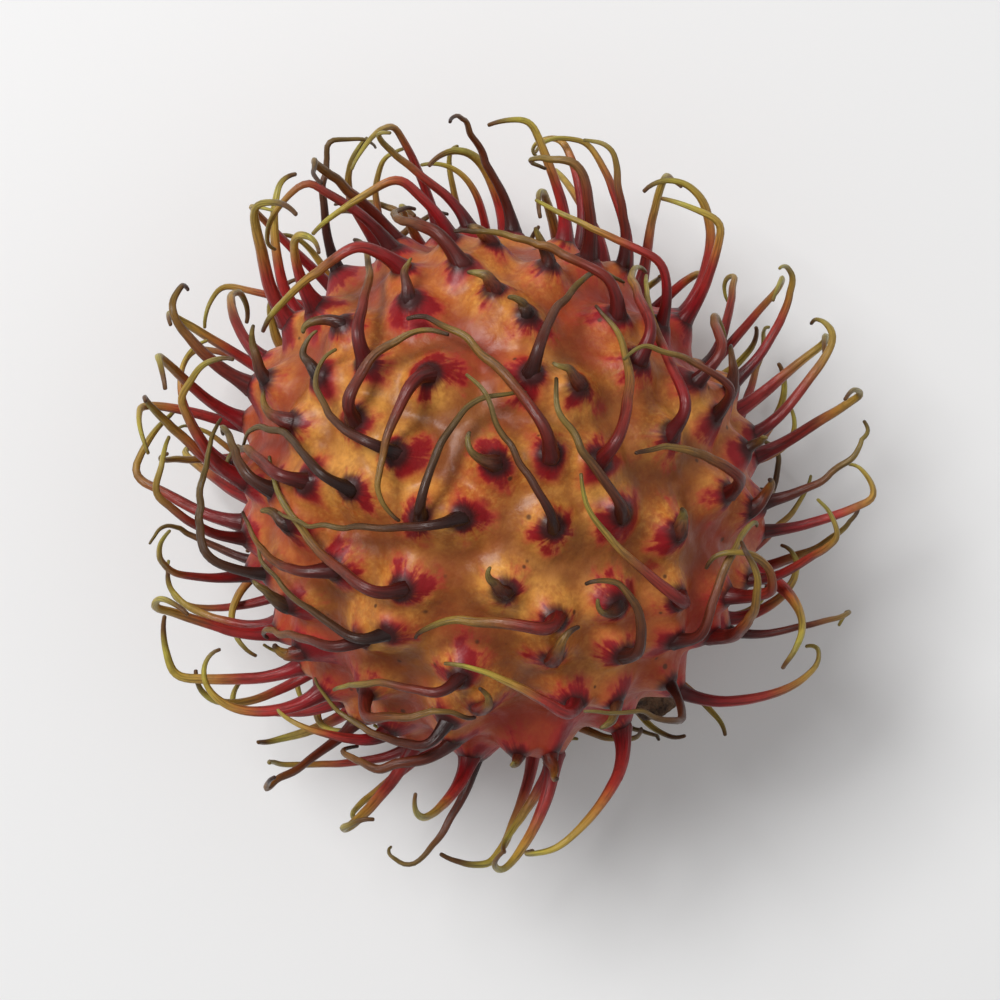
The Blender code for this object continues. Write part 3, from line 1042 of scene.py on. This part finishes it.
@dataclass(frozen=True)
class StalkFinish:
    """Dry brown bark with a paler cut end."""

    bark: Colour = srgb(104, 76, 50)
    crack: Colour = srgb(48, 32, 22)
    cut: Colour = srgb(176, 148, 108)
    pith: Colour = srgb(138, 108, 74)
    cracks: Patches = Patches(900.0, 0.35, 0.62)
    ring_wander: float = 0.35
    ring_turns: float = 17.0
    ring_rise: tuple[float, float] = (-1.4, 1.6)
    bark_rise: tuple[float, float] = (0.8, 0.97)
    grain: tuple[float, float] = (2300.0, 0.8)
    bump_depth: float = 0.15 * MM
    roughness: tuple[float, float] = (0.9, 0.72)

    def material(self, effects: SharedEffects) -> bpy.types.Material:
        """Build the stalk's material.

        Args:
            effects: The shared effects.

        Returns:
            The material.
        """
        material, drawing = new_material("rambutan_stalk")
        place = drawing.place()
        patch = effects.patches(drawing, place, self.cracks)
        bark = drawing.blend(patch, self.crack, self.bark)
        inner = drawing.attribute("inner")
        wander = drawing.maths('MULTIPLY', patch, self.ring_wander)
        turns = drawing.maths('MULTIPLY', drawing.maths('ADD', inner, wander), self.ring_turns)
        rings = drawing.rise(drawing.maths('SINE', turns), *self.ring_rise)
        wood = drawing.blend(rings, self.pith, self.cut)
        wood = drawing.blend(drawing.rise(inner, *self.bark_rise), wood, self.bark)
        grain = effects.leather(drawing, place, *self.grain)
        sockets = {
            "Base Color": drawing.blend(drawing.attribute("cut"), bark, wood),
            "Roughness": drawing.between(patch, self.roughness),
            "Normal": drawing.bump(grain, self.bump_depth),
        }
        close_material(drawing, sockets)
        return material


@dataclass(frozen=True)
class FloorFinish:
    """Plain pale studio floor."""

    colour: Colour = (0.80, 0.80, 0.80, 1.0)
    roughness: float = 0.9

    def material(self) -> bpy.types.Material:
        """Build the floor's material.

        Returns:
            The material.
        """
        material, drawing = new_material("pale_floor")
        close_material(drawing, {"Base Color": self.colour, "Roughness": self.roughness})
        return material


def new_material(name: str) -> tuple[bpy.types.Material, Drawing]:
    """Start a material.

    Args:
        name: The material's name.

    Returns:
        The material and its drawing, which is empty.
    """
    material = bpy.data.materials.new(name)
    material.use_nodes = True
    return material, Drawing(material.node_tree)


def close_material(drawing: Drawing, sockets: dict) -> None:
    """End a material with its surface shader and output.

    Args:
        drawing: The material's drawing.
        sockets: The surface shader's values and sources.
    """
    shader = drawing.add("ShaderNodeBsdfPrincipled", sockets)
    drawing.add("ShaderNodeOutputMaterial", {"Surface": shader.outputs["BSDF"]})


def mesh_from(bm: bmesh.types.BMesh, name: str) -> bpy.types.Mesh:
    """Turn an edited mesh into one for an object.

    Args:
        bm: The edited mesh, which is let go.
        name: The new mesh's name.

    Returns:
        The new mesh.
    """
    mesh = bpy.data.meshes.new(name)
    bm.to_mesh(mesh)
    bm.free()
    return mesh


def band(low: int, high: int, sides: int) -> list[tuple[int, ...]]:
    """Join two rings of points by squares.

    Args:
        low: Number of the first point of the lower ring.
        high: Number of the first point of the upper ring.
        sides: How many points a ring has.

    Returns:
        The faces, as numbers of points.
    """
    steps = [(step, (step + 1) % sides) for step in range(sides)]
    return [(low + step, low + after, high + after, high + step) for step, after in steps]


def noise_values(points: np.ndarray, scale: float) -> np.ndarray:
    """Noise from -1 to 1 at each of many points."""
    return np.array([space_noise.noise(Vector(point) * scale) for point in points])


def new_piece(name: str, mesh: bpy.types.Mesh, material: bpy.types.Material) -> bpy.types.Object:
    """Make a smooth-shaded object.

    Args:
        name: The piece's name.
        mesh: Its shape.
        material: Its material.

    Returns:
        The object.
    """
    mesh.materials.append(material)
    mesh.shade_smooth()
    made = bpy.data.objects.new(name, mesh)
    bpy.context.scene.collection.objects.link(made)
    return made


def hold(mesh: bpy.types.Mesh, name: str, values: np.ndarray) -> None:
    """Keep a number or a vector at each point of a mesh, for its material to read.

    Args:
        mesh: The mesh.
        name: The attribute's name.
        values: One number, or one row of three numbers, for each point.
    """
    kind, key = ('FLOAT', "value") if values.ndim == 1 else ('FLOAT_VECTOR', "vector")
    attribute = mesh.attributes.new(name, kind, 'POINT')
    attribute.data.foreach_set(key, values.astype(np.float32).ravel())


@dataclass
class SkinPiece:
    """The fine skin: the solid's ovoid and cushions, with raised roots, grooves and wrinkles."""

    body: FruitBody
    growth: SpineGrowth
    finish: SkinFinish = field(default_factory=SkinFinish)
    cuts: int = 123
    root_rise: float = 0.50 * MM
    root_reach: float = 1.25 * MM
    wave_height: float = 0.22 * MM
    wave_scale: float = 330.0
    wrinkle_height: float = 0.09 * MM
    wrinkle_scale: float = 1300.0
    groove_depth: float = 0.12 * MM
    groove_width: float = 1.3 * MM
    socket_radius: float = 2.0 * MM
    socket_wall: tuple[float, float] = (1.08, 0.94)
    socket_depth: float = 2.5 * MM
    star_range: tuple[float, float] = (1.3 * MM, 2.7 * MM)
    blush_scale: float = 95.0
    blush_facing: tuple[float, float] = (0.95, 0.2)
    blush_shares: tuple[float, float, float] = (0.04, 0.52, 0.75)
    blush_limit: float = 0.85
    blush_fractal: tuple[float, float, int] = (1.0, 2.0, 3)

    def build(self, effects: SharedEffects) -> bpy.types.Object:
        """Shape the skin and dress it.

        Args:
            effects: The shared effects.

        Returns:
            The skin's object.
        """
        mesh = self.even_sphere()
        directions = np.empty(len(mesh.vertices) * 3, dtype=np.float32)
        mesh.vertices.foreach_get("co", directions)
        directions = directions.reshape(-1, 3).astype(float)
        directions /= np.linalg.norm(directions, axis=1, keepdims=True)
        base, away = self.body.points_and_normals(directions)
        distances = self.site_distances(base)
        cushion, bare = self.cushion_heights(base, distances)
        fine = self.fine_heights(base, distances, bare)
        place = base + away * (self.body.sizes.cushion_height * cushion * bare + fine)[:, None]
        place = self.hollow_stem_end(base, place)
        world = self.lay_down(place)
        mesh.vertices.foreach_set("co", world.astype(np.float32).ravel())
        self.hold_values(mesh, world, away, distances, cushion * bare)
        mesh.update()
        return new_piece("skin", mesh, self.finish.material(effects))

    def even_sphere(self) -> bpy.types.Mesh:
        """Shape a sphere from a finely cut cube, with squares of nearly one size.

        Returns:
            The mesh.
        """
        bm = bmesh.new()
        bmesh.ops.create_cube(bm, size=2)
        bmesh.ops.subdivide_edges(bm, edges=bm.edges, cuts=self.cuts, use_grid_fill=True)
        for vert in bm.verts:
            vert.co = Vector([math.tan(part * math.pi / 4) for part in vert.co]).normalized()
        return mesh_from(bm, "skin")

    def site_distances(self, base: np.ndarray) -> np.ndarray:
        """Measure how far each point is from each spine's place.

        Args:
            base: Points of the ovoid.

        Returns:
            The distances, a row for each point.
        """
        sites = np.array([self.body.point(d) for d in self.growth.cushions.directions])
        squares = (base ** 2).sum(1)[:, None] + (sites ** 2).sum(1)[None, :] - 2 * base @ sites.T
        return np.sqrt(np.maximum(squares, 0))

    def cushion_heights(self, base: np.ndarray, distances: np.ndarray) -> tuple[np.ndarray, np.ndarray]:
        """Work out the cushions.

        Args:
            base: Points of the ovoid.
            distances: Distance of each point from each spine.

        Returns:
            Share of the cushions' height at each point, and how far they show there.
        """
        sizes = self.body.sizes
        total = np.exp(-(distances / sizes.cushion_radius) ** 2).sum(1)
        rise = self.lay_down(base, pressed=False)[:, 2]
        bare = smooth_array(0, sizes.cushion_fade, rise)
        around = smooth_array(*sizes.dimple_radii, np.hypot(base[:, 0], base[:, 2]))
        bare = np.where(base[:, 1] < 0, bare * around, bare)
        return np.minimum(total, sizes.cushion_limit), bare

    def fine_heights(self, base: np.ndarray, distances: np.ndarray, bare: np.ndarray) -> np.ndarray:
        """Work out the small relief: raised roots, grooves between cushions, waves and wrinkles.

        Args:
            base: Points of the ovoid.
            distances: Distance of each point from each spine.
            bare: How far the relief shows at each point.

        Returns:
            Its height at each point.
        """
        first, second = np.partition(distances, 1, axis=1)[:, :2].T
        roots = self.root_rise * np.exp(-(first / self.root_reach) ** 2)
        groove = -self.groove_depth * np.exp(-((second - first) / self.groove_width) ** 2)
        waves = self.wave_height * noise_values(base, self.wave_scale)
        wrinkles = self.wrinkle_height * noise_values(base, self.wrinkle_scale)
        return (roots + groove + waves + wrinkles) * bare

    def hollow_stem_end(self, base: np.ndarray, place: np.ndarray) -> np.ndarray:
        """Flatten the dimple at the stem end and sink the stalk's socket in it.

        Args:
            base: Points of the ovoid.
            place: The same points with their relief.

        Returns:
            The points with the dimple and the socket, in the fruit's axes.
        """
        sizes = self.body.sizes
        across = np.hypot(base[:, 0], base[:, 2])
        rim = smooth_array(*sizes.dimple_radii, across)
        socket = smooth_array(*self.socket_wall, across / self.socket_radius)
        level = -self.body.half.y + sizes.dimple_depth + self.socket_depth * socket
        sunk = level + (place[:, 1] - level) * rim
        place[:, 1] = np.where(base[:, 1] < 0, sunk, place[:, 1])
        return place

    def lay_down(self, points: np.ndarray, pressed: bool = True) -> np.ndarray:
        """Take points from the fruit's axes to where it lies.

        Args:
            points: The points, in the fruit's axes.
            pressed: Whether the underside is pressed flat.

        Returns:
            The points, in world axes.
        """
        matrix = np.array(self.body.to_world)
        world = points @ matrix[:3, :3].T + matrix[:3, 3]
        if pressed:
            world[:, 2] = np.maximum(world[:, 2], 0)
        return world

    def hold_values(
        self,
        mesh: bpy.types.Mesh,
        world: np.ndarray,
        away: np.ndarray,
        distances: np.ndarray,
        cushion: np.ndarray,
    ) -> None:
        """Keep what the finish reads: cushions, blush, and the way from the nearest spine.

        Args:
            mesh: The skin's mesh.
            world: Its points as they lie.
            away: Outward directions in the fruit's axes.
            distances: Distance of each point from each spine.
            cushion: Share of the cushions' height at each point.
        """
        spines = self.growth.spines
        near = distances.argmin(1)
        roots = np.array([spine.points[0] for spine in spines])
        leans = np.array([spine.lean() for spine in spines])
        ups = np.array([spine.away for spine in spines])
        sides = np.cross(ups, leans)
        run = (world - roots[near]) / MM
        offset = np.empty_like(run)
        offset[:, 0] = (run * leans[near]).sum(1)
        offset[:, 1] = (run * sides[near]).sum(1)
        offset[:, 2] = np.array([spine.tone for spine in spines])[near]
        hold(mesh, "spine_offset", offset)
        draws = random.Random(self.growth.sizes.seed + 2)
        star_sizes = np.array([draws.uniform(*self.star_range) / MM for _ in spines])
        hold(mesh, "star_size", star_sizes[near])
        first, second = np.partition(distances, 1, axis=1)[:, :2].T
        hold(mesh, "border", (second - first) / MM)
        # the cushions' height, which the skin's finish reads to paint shade into the valleys between them
        hold(mesh, "cushion", cushion)
        facing = (away @ np.array(self.body.turn).T)[:, 2]
        scaled = [Vector(point) * self.blush_scale for point in world]
        patches = np.array([space_noise.fractal(point, *self.blush_fractal) for point in scaled])
        least, side, patchy = self.blush_shares
        blush = least + side * smooth_array(*self.blush_facing, facing) + patchy * patches
        hold(mesh, "blush", np.clip(blush, 0.0, self.blush_limit))


@dataclass
class SpinesPiece:
    """The fine spines: rounded, tapered tubes along the same middle lines as the solid's."""

    growth: SpineGrowth
    finish: SpineFinish = field(default_factory=SpineFinish)
    sides: int = 12
    rings: int = 38
    fullness: float = 1.06
    flatness: float = 0.16
    ridge_count: int = 5
    ridge_depth: float = 0.05
    twist: float = 0.05
    lump_height: float = 0.12
    lump_share: float = 0.4
    lump_scales: tuple[float, float] = (0.7, 0.55)
    plumpness: float = 0.25
    dry_shrink: float = 0.16
    kink: float = 0.55 * MM
    kink_rise: tuple[float, float] = (0.2, 0.6)
    kink_scale: float = 0.42
    kink_apart: float = 9.7
    tip_share: float = 0.3
    bulb: tuple[float, ...] = (1.0, 0.93, 0.75, 0.5, 0.25)
    bulb_fullness: float = 1.02
    tone_lifts: tuple[float, float, float] = (50.0, 70.0, 90.0)
    fibre_run: float = 2.2

    def build(self, effects: SharedEffects) -> bpy.types.Object:
        """Shape the spines and dress them.

        Args:
            effects: The shared effects.

        Returns:
            The spines' object.
        """
        points, faces, values = [], [], []
        for spine in self.growth.spines:
            start = len(points)
            tube, along = self.tube(spine)
            points.extend(tube)
            faces.extend(self.tube_faces(start, len(along)))
            for part in along[:-1]:
                values.extend(self.values(spine, part, step) for step in range(self.sides))
            values.append(self.values(spine, along[-1], 0))
        mesh = bpy.data.meshes.new("spines")
        mesh.from_pydata(points, [], faces)
        table = np.array(values)
        for column, name in enumerate(("along", "age", "tone")):
            hold(mesh, name, table[:, column])
        hold(mesh, "around", table[:, 3:])
        return new_piece("spines", mesh, self.finish.material(effects))

    def values(self, spine: Spine, part: float, step: int) -> tuple[float, ...]:
        """Gather what the finish reads at one point.

        Args:
            spine: The spine.
            part: How far along it the point is, from 0 to 1.
            step: Which point of its ring it is.

        Returns:
            How far along, the spine's age and tone, and the place round the spine.
        """
        angle = step * math.tau / self.sides
        lift = spine.tone * self.tone_lifts[0] + part * self.fibre_run
        return part, spine.age, spine.tone, math.cos(angle), math.sin(angle), lift

    def middle_line(self, spine: Spine) -> tuple[list[Vector], list[float]]:
        """Draw a spine's smooth middle line, from its sunk root to its tip.

        Args:
            spine: The spine.

        Returns:
            The line's points, and their distances from the skin.
        """
        sizes = self.growth.sizes
        setting_off = (spine.points[1] - spine.points[0]).normalized()
        sunk = [-sizes.root_depth * share for share in self.bulb]
        tip = sizes.tip_radius
        distances = [mix(0, spine.length - tip, step / self.rings) for step in range(self.rings + 1)]
        distances += [spine.length - self.tip_share * tip, spine.length]
        line = [self.kinked(spine, distance) for distance in distances]
        return [spine.points[0] + setting_off * depth for depth in sunk] + line, sunk + distances

    def kinked(self, spine: Spine, distance: float) -> Vector:
        """Find a point of a spine's middle line, with the small sideways kinks of a dry one.

        Args:
            spine: The spine.
            distance: The point's distance from the skin.

        Returns:
            The point.
        """
        share = smoothstep(*self.kink_rise, distance / spine.length) * spine.age
        where = Vector((distance / MM * self.kink_scale, spine.tone * self.tone_lifts[1], 0.0))
        apart = Vector((0, 0, self.kink_apart))
        shift = Vector([space_noise.noise(where + apart * step) for step in range(3)])
        shift = shift * self.kink * share
        inward = min(shift.dot(spine.away), 0.0)
        return self.on_line(spine, distance) + shift - spine.away * inward * 2

    @staticmethod
    def on_line(spine: Spine, distance: float) -> Vector:
        """Find a point on a smooth curve through the points of a spine's middle line.

        Args:
            spine: The spine.
            distance: The point's distance from the skin.

        Returns:
            The point.
        """
        points = spine.points
        last = len(points) - 1
        place = min(max(distance / spine.length, 0.0), 1.0) * last
        step = min(int(place), last - 1)
        share = place - step
        before, start = points[max(step - 1, 0)], points[step]
        end, after = points[step + 1], points[min(step + 2, last)]
        linear = (end - before) * share
        square = (before * 2 - start * 5 + end * 4 - after) * share ** 2
        cube = (start * 3 - before - end * 3 + after) * share ** 3
        return start + (linear + square + cube) / 2

    def tube(self, spine: Spine) -> tuple[list[Vector], list[float]]:
        """Shape a spine's tube, ring by ring.

        Args:
            spine: The spine.

        Returns:
            The tube's points, and how far along the spine each ring is, from 0 to 1.
        """
        line, distances = self.middle_line(spine)
        plump = 1 - self.dry_shrink * spine.age + self.plumpness * (spine.tone - 0.5)
        side = (line[1] - line[0]).orthogonal().normalized()
        points = []
        for number in range(len(line) - 1):
            ahead = line[number + 1] - line[max(number - 1, 0)]
            along = ahead.normalized()
            side = (side - along * side.dot(along)).normalized()
            across = along.cross(side)
            radius = self.growth.radius(distances[number], spine.length) * plump
            radius *= self.rounding(spine, distances[number])
            twist = number * self.twist + spine.tone * math.tau
            for step in range(self.sides):
                angle = step * math.tau / self.sides
                reach = radius * self.section(spine, angle, twist, distances[number])
                offset = (side * math.cos(angle) + across * math.sin(angle)) * reach
                point = line[number] + offset
                point.z = max(point.z, self.growth.lie.surface_gap)
                points.append(point)
        points.append(line[-1])
        return points, [max(distance, 0) / spine.length for distance in distances]

    def rounding(self, spine: Spine, distance: float) -> float:
        """Share of the radius that the round tip and the round sunk root leave.

        Args:
            spine: The spine.
            distance: Distance along it.

        Returns:
            The share.
        """
        sizes = self.growth.sizes
        left = (spine.length - distance) / sizes.tip_radius
        sunk = max(-distance, 0) / sizes.root_depth
        tip = math.sqrt(max(1 - (1 - min(left, 1.0)) ** 2, 0.0))
        return tip * math.sqrt(self.bulb_fullness - sunk ** 2)

    def section(self, spine: Spine, angle: float, twist: float, distance: float) -> float:
        """Share of the radius that a spine has at an angle: flattened, ridged and a little lumpy.

        Args:
            spine: The spine.
            angle: Angle round it.
            twist: How far its section is turned.
            distance: Distance along it.

        Returns:
            The share, near 1.
        """
        flat = -self.flatness * math.sin(angle - twist) ** 2
        ridge = self.ridge_depth * math.cos(self.ridge_count * angle + twist)
        around, along = self.lump_scales
        lift = spine.tone * self.tone_lifts[2]
        where = Vector((math.cos(angle) * around, distance / MM * along, lift))
        lump = self.lump_height * mix(self.lump_share, 1.0, spine.age) * space_noise.noise(where)
        return self.fullness + flat + ridge + lump

    def tube_faces(self, start: int, levels: int) -> list[tuple[int, ...]]:
        """Close a tube whose last level is one point.

        Args:
            start: Number of its first point.
            levels: How many levels it has.

        Returns:
            The faces, as numbers of points.
        """
        sides = self.sides
        faces: list[tuple[int, ...]] = [tuple(start + step for step in reversed(range(sides)))]
        for level in range(levels - 2):
            faces += band(start + level * sides, start + (level + 1) * sides, sides)
        low, tip = start + (levels - 2) * sides, start + (levels - 1) * sides
        faces.extend((low + step, low + (step + 1) % sides, tip) for step in range(sides))
        return faces


@dataclass
class StalkPiece:
    """The cut end of the stalk, with its bark, its dry calyx and its sawn face."""

    body: FruitBody
    finish: StalkFinish = field(default_factory=StalkFinish)
    radius: float = 1.7 * MM
    length: float = 5.2 * MM
    bend: float = 0.7 * MM
    slant: float = 0.18
    slant_rise: tuple[float, float] = (0.8, 1.0)
    gap: float = 0.3 * MM
    socket_depth: float = 2.5 * MM
    calyx_radii: tuple[float, float] = (3.3 * MM, 2.1 * MM)
    calyx_thickness: float = 0.7 * MM
    calyx_below: tuple[float, ...] = (0.4, 0.8, 0.96, 1.0)
    calyx_above: tuple[float, ...] = (0.96, 0.85, 0.6, 0.3, 0.1)
    calyx_rises: tuple[float, float] = (0.15 * MM, 0.35 * MM)
    calyx_curl: float = 0.25 * MM
    calyx_neck: float = 1.02
    bark_step: float = 0.2 * MM
    bark_levels: int = 14
    bark_waves: tuple[float, float, float] = (1.04, 0.11, 0.03)
    bark_turns: float = 9.0
    foot_radius: float = 0.92
    foot_gap: float = 0.1 * MM
    weld_distance: float = 0.002 * MM
    sawn_rings: tuple[float, ...] = (0.96, 0.75, 0.5, 0.25, 0.0)
    sawn_rise: float = 0.05 * MM
    ridges: tuple[tuple[float, int, int], ...] = ((0.035, 7, 3), (0.02, 17, -5))
    lobes: int = 5
    lobe_power: float = 1.4
    sides: int = 60

    def profile(self) -> list[tuple[float, float, float, float]]:
        """List the stalk's levels, from its foot to the middle of the sawn face.

        Returns:
            Height, radius, share of the calyx's lobes and share of the sawn face of each level.
        """
        top = self.gap + self.calyx_thickness
        foot = self.gap - self.socket_depth
        levels = [(foot, 0.0, 0.0, 0.0), (foot, self.foot_radius * self.radius, 0.0, 0.0)]
        levels.append((self.gap - self.foot_gap, self.radius, 0.0, 0.0))
        under, over = self.calyx_rises
        for share in self.calyx_below:
            levels.append((self.gap + under * share, self.radius, share, 0.0))
        for share in self.calyx_above:
            height = top - self.bark_step + (1 - share) * over
            levels.append((height, self.radius * self.calyx_neck, share, 0.0))
        full, waist, wave = self.bark_waves
        for step in range(1, self.bark_levels + 1):
            part = step / self.bark_levels
            girth = full - waist * math.sin(part * math.pi) + wave * math.sin(part * self.bark_turns)
            levels.append((mix(top + self.bark_step, self.length, part), self.radius * girth, 0.0, 0.0))
        for share in self.sawn_rings:
            levels.append((self.length + self.sawn_rise * (1 - share), self.radius * share, 0.0, 1.0))
        return levels

    def build(self, effects: SharedEffects) -> bpy.types.Object:
        """Shape the stalk and dress it.

        Args:
            effects: The shared effects.

        Returns:
            The stalk's object.
        """
        levels = self.profile()
        points, cut, inner = [], [], []
        for height, radius, lobe, sawn in levels:
            for step in range(self.sides):
                angle = step * math.tau / self.sides
                points.append(self.corner(height, radius, lobe, sawn, angle))
                cut.append(sawn)
                inner.append(radius / self.radius)
        faces = []
        for level in range(len(levels) - 1):
            faces += band(level * self.sides, (level + 1) * self.sides, self.sides)
        mesh = bpy.data.meshes.new("stalk_end")
        mesh.from_pydata(points, [], faces)
        hold(mesh, "cut", np.array(cut))
        hold(mesh, "inner", np.array(inner))
        self.weld(mesh)
        mesh.transform(self.place())
        return new_piece("stalk_end", mesh, self.finish.material(effects))

    def corner(self, height: float, radius: float, lobe: float, sawn: float, angle: float) -> Vector:
        """Shape one point of the stalk, with bark ridges, lobes and the slanted cut.

        Args:
            height: Height of its level.
            radius: Radius of its level.
            lobe: Share of the calyx's lobes there.
            sawn: Share of the sawn face there.
            angle: Angle of the point round the stalk.

        Returns:
            The point, in the stalk's own axes.
        """
        above = max(height, 0) / self.length
        wave = 0.5 + 0.5 * math.cos(self.lobes * angle)
        spread = mix(self.calyx_radii[1], self.calyx_radii[0], wave ** self.lobe_power)
        reach = mix(radius, spread, lobe)
        if above > 0 and not sawn and lobe == 0:
            waves = [size * math.sin(turns * angle + run * above) for size, turns, run in self.ridges]
            reach *= 1 + sum(waves)
        slope = self.slant * reach * math.cos(angle) * smoothstep(*self.slant_rise, above)
        curl = self.calyx_curl * lobe ** 3 * wave
        shift = self.bend * above ** 2
        return Vector((shift + reach * math.cos(angle), reach * math.sin(angle), height + slope + curl))

    def weld(self, mesh: bpy.types.Mesh) -> None:
        """Join the points that meet at the two ends.

        Args:
            mesh: The stalk's mesh.
        """
        bm = bmesh.new()
        bm.from_mesh(mesh)
        bmesh.ops.remove_doubles(bm, verts=bm.verts, dist=self.weld_distance)
        bm.to_mesh(mesh)
        bm.free()

    def place(self) -> Matrix:
        """Find the stalk's place and turn: its +Z points out of the fruit at the stem end.

        Returns:
            The matrix that takes it there.
        """
        sizes = self.body.sizes
        floor = Vector((0, -self.body.half.y + sizes.dimple_depth, 0))
        upright = Matrix.Rotation(math.radians(90), 4, 'X')
        return self.body.to_world @ Matrix.Translation(floor) @ upright


@dataclass
class Studio:
    """Pale floor, soft light from the upper left of the picture, and the camera above."""

    finish: FloorFinish = field(default_factory=FloorFinish)
    floor_size: float = 6.0
    floor_level: float = -0.05 * MM
    target: Vector = field(default_factory=lambda: Vector((0.0, 0.001, 0.022)))
    roll: float = math.radians(35)
    tilt: float = math.radians(4.2)
    tilt_way: tuple[float, float, float] = (-0.42, 0.9, 0.0)
    lens: float = 90.0
    picture_width: float = 0.084
    sensor: float = 36.0
    clip_start: float = 0.01
    key_power: float = 4.9
    key_size: float = 0.27
    key_distance: float = 0.75
    key_way: tuple[float, float, float] = (-0.66, 0.62, 1.15)
    fill_way: tuple[float, float, float] = (0.8, 0.1, 0.8)
    fill_size: float = 0.9
    fill_power: float = 0.6
    sky: float = 0.38
    seen_sky: float = 0.42

    def way(self, right: float, up: float, high: float) -> Vector:
        """World direction of one given by the picture's right and up, and by height."""
        return Matrix.Rotation(-self.roll, 3, 'Z') @ Vector((right, up, high))

    def build(self) -> None:
        """Make the floor, the lights, the sky and the camera."""
        self.build_camera()
        self.build_floor()
        self.build_light("key_light", self.way(*self.key_way), self.key_power, self.key_size)
        self.build_light("fill_light", self.way(*self.fill_way), self.fill_power, self.fill_size)
        self.build_sky()
        bpy.context.scene.view_settings.view_transform = 'Standard'

    def build_sky(self) -> None:
        """Make an even white sky, which the camera sees in the tone of the far floor."""
        world = bpy.data.worlds.new("studio")
        world.use_nodes = True
        drawing = Drawing(world.node_tree)
        white = {"Color": (1, 1, 1, 1)}
        lit = drawing.add("ShaderNodeBackground", {**white, "Strength": self.sky})
        seen = drawing.add("ShaderNodeBackground", {**white, "Strength": self.seen_sky})
        ray = drawing.add("ShaderNodeLightPath").outputs["Is Camera Ray"]
        both = drawing.add("ShaderNodeMixShader", {0: ray, 1: lit.outputs[0], 2: seen.outputs[0]})
        drawing.add("ShaderNodeOutputWorld", {"Surface": both.outputs[0]})
        bpy.context.scene.world = world

    def build_camera(self) -> None:
        """Put the camera nearly straight above the fruit, as the picture is taken."""
        back = Vector((0, 0, 1)) * math.cos(self.tilt)
        back += self.way(*self.tilt_way).normalized() * math.sin(self.tilt)
        view_right = self.way(0, 1, 0).cross(back).normalized()
        view_up = back.cross(view_right)
        turn = Matrix((view_right, view_up, back)).transposed()
        data = bpy.data.cameras.new("camera")
        data.lens = self.lens
        data.sensor_width = self.sensor
        data.clip_start = self.clip_start
        camera = bpy.data.objects.new("camera", data)
        camera.location = self.target + back * (self.picture_width * self.lens / self.sensor)
        camera.rotation_euler = turn.to_euler()
        bpy.context.scene.collection.objects.link(camera)
        bpy.context.scene.camera = camera

    def build_floor(self) -> None:
        """Lay the plain floor."""
        bm = bmesh.new()
        bmesh.ops.create_grid(bm, x_segments=1, y_segments=1, size=self.floor_size / 2)
        floor = new_piece("floor", mesh_from(bm, "floor"), self.finish.material())
        floor.location.z = self.floor_level

    def build_light(self, name: str, direction: Vector, power: float, size: float) -> None:
        """Hang a soft square light.

        Args:
            name: The light's name.
            direction: Direction from the fruit to the light.
            power: Its power in watts.
            size: The length of its side.
        """
        data = bpy.data.lights.new(name, 'AREA')
        data.energy = power
        data.size = size
        light = bpy.data.objects.new(name, data)
        light.location = self.target + direction.normalized() * self.key_distance
        light.rotation_euler = direction.to_track_quat('Z', 'Y').to_euler()
        bpy.context.scene.collection.objects.link(light)


def report_piece(piece: bpy.types.Object, node: str) -> None:
    """Bind a piece to the frame and log its size.

    Args:
        piece: The finished piece.
        node: The solid that it stands for.
    """
    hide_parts(node)
    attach(piece, "root")
    piece.data.calc_loop_triangles()
    LOG.info("%s stands for %s, %d triangles", piece.name, node, len(piece.data.loop_triangles))


def main() -> None:
    """Build the finished rambutan and its studio."""
    logging.basicConfig(level=logging.INFO)
    effects = SharedEffects()
    body = FruitBody(BodySizes())
    growth = SpineGrowth(body, SpineSizes(), SpineLie())
    for wear in SpineWear:
        count = sum(spine.wear is wear for spine in growth.spines)
        LOG.info("%d spines grown %s", count, wear.name.lower())
    report_piece(SkinPiece(body, growth).build(effects), "fruit")
    report_piece(SpinesPiece(growth).build(effects), "fruit")
    report_piece(StalkPiece(body).build(effects), "stalk")
    Studio().build()


if __name__ == "__main__":
    main()
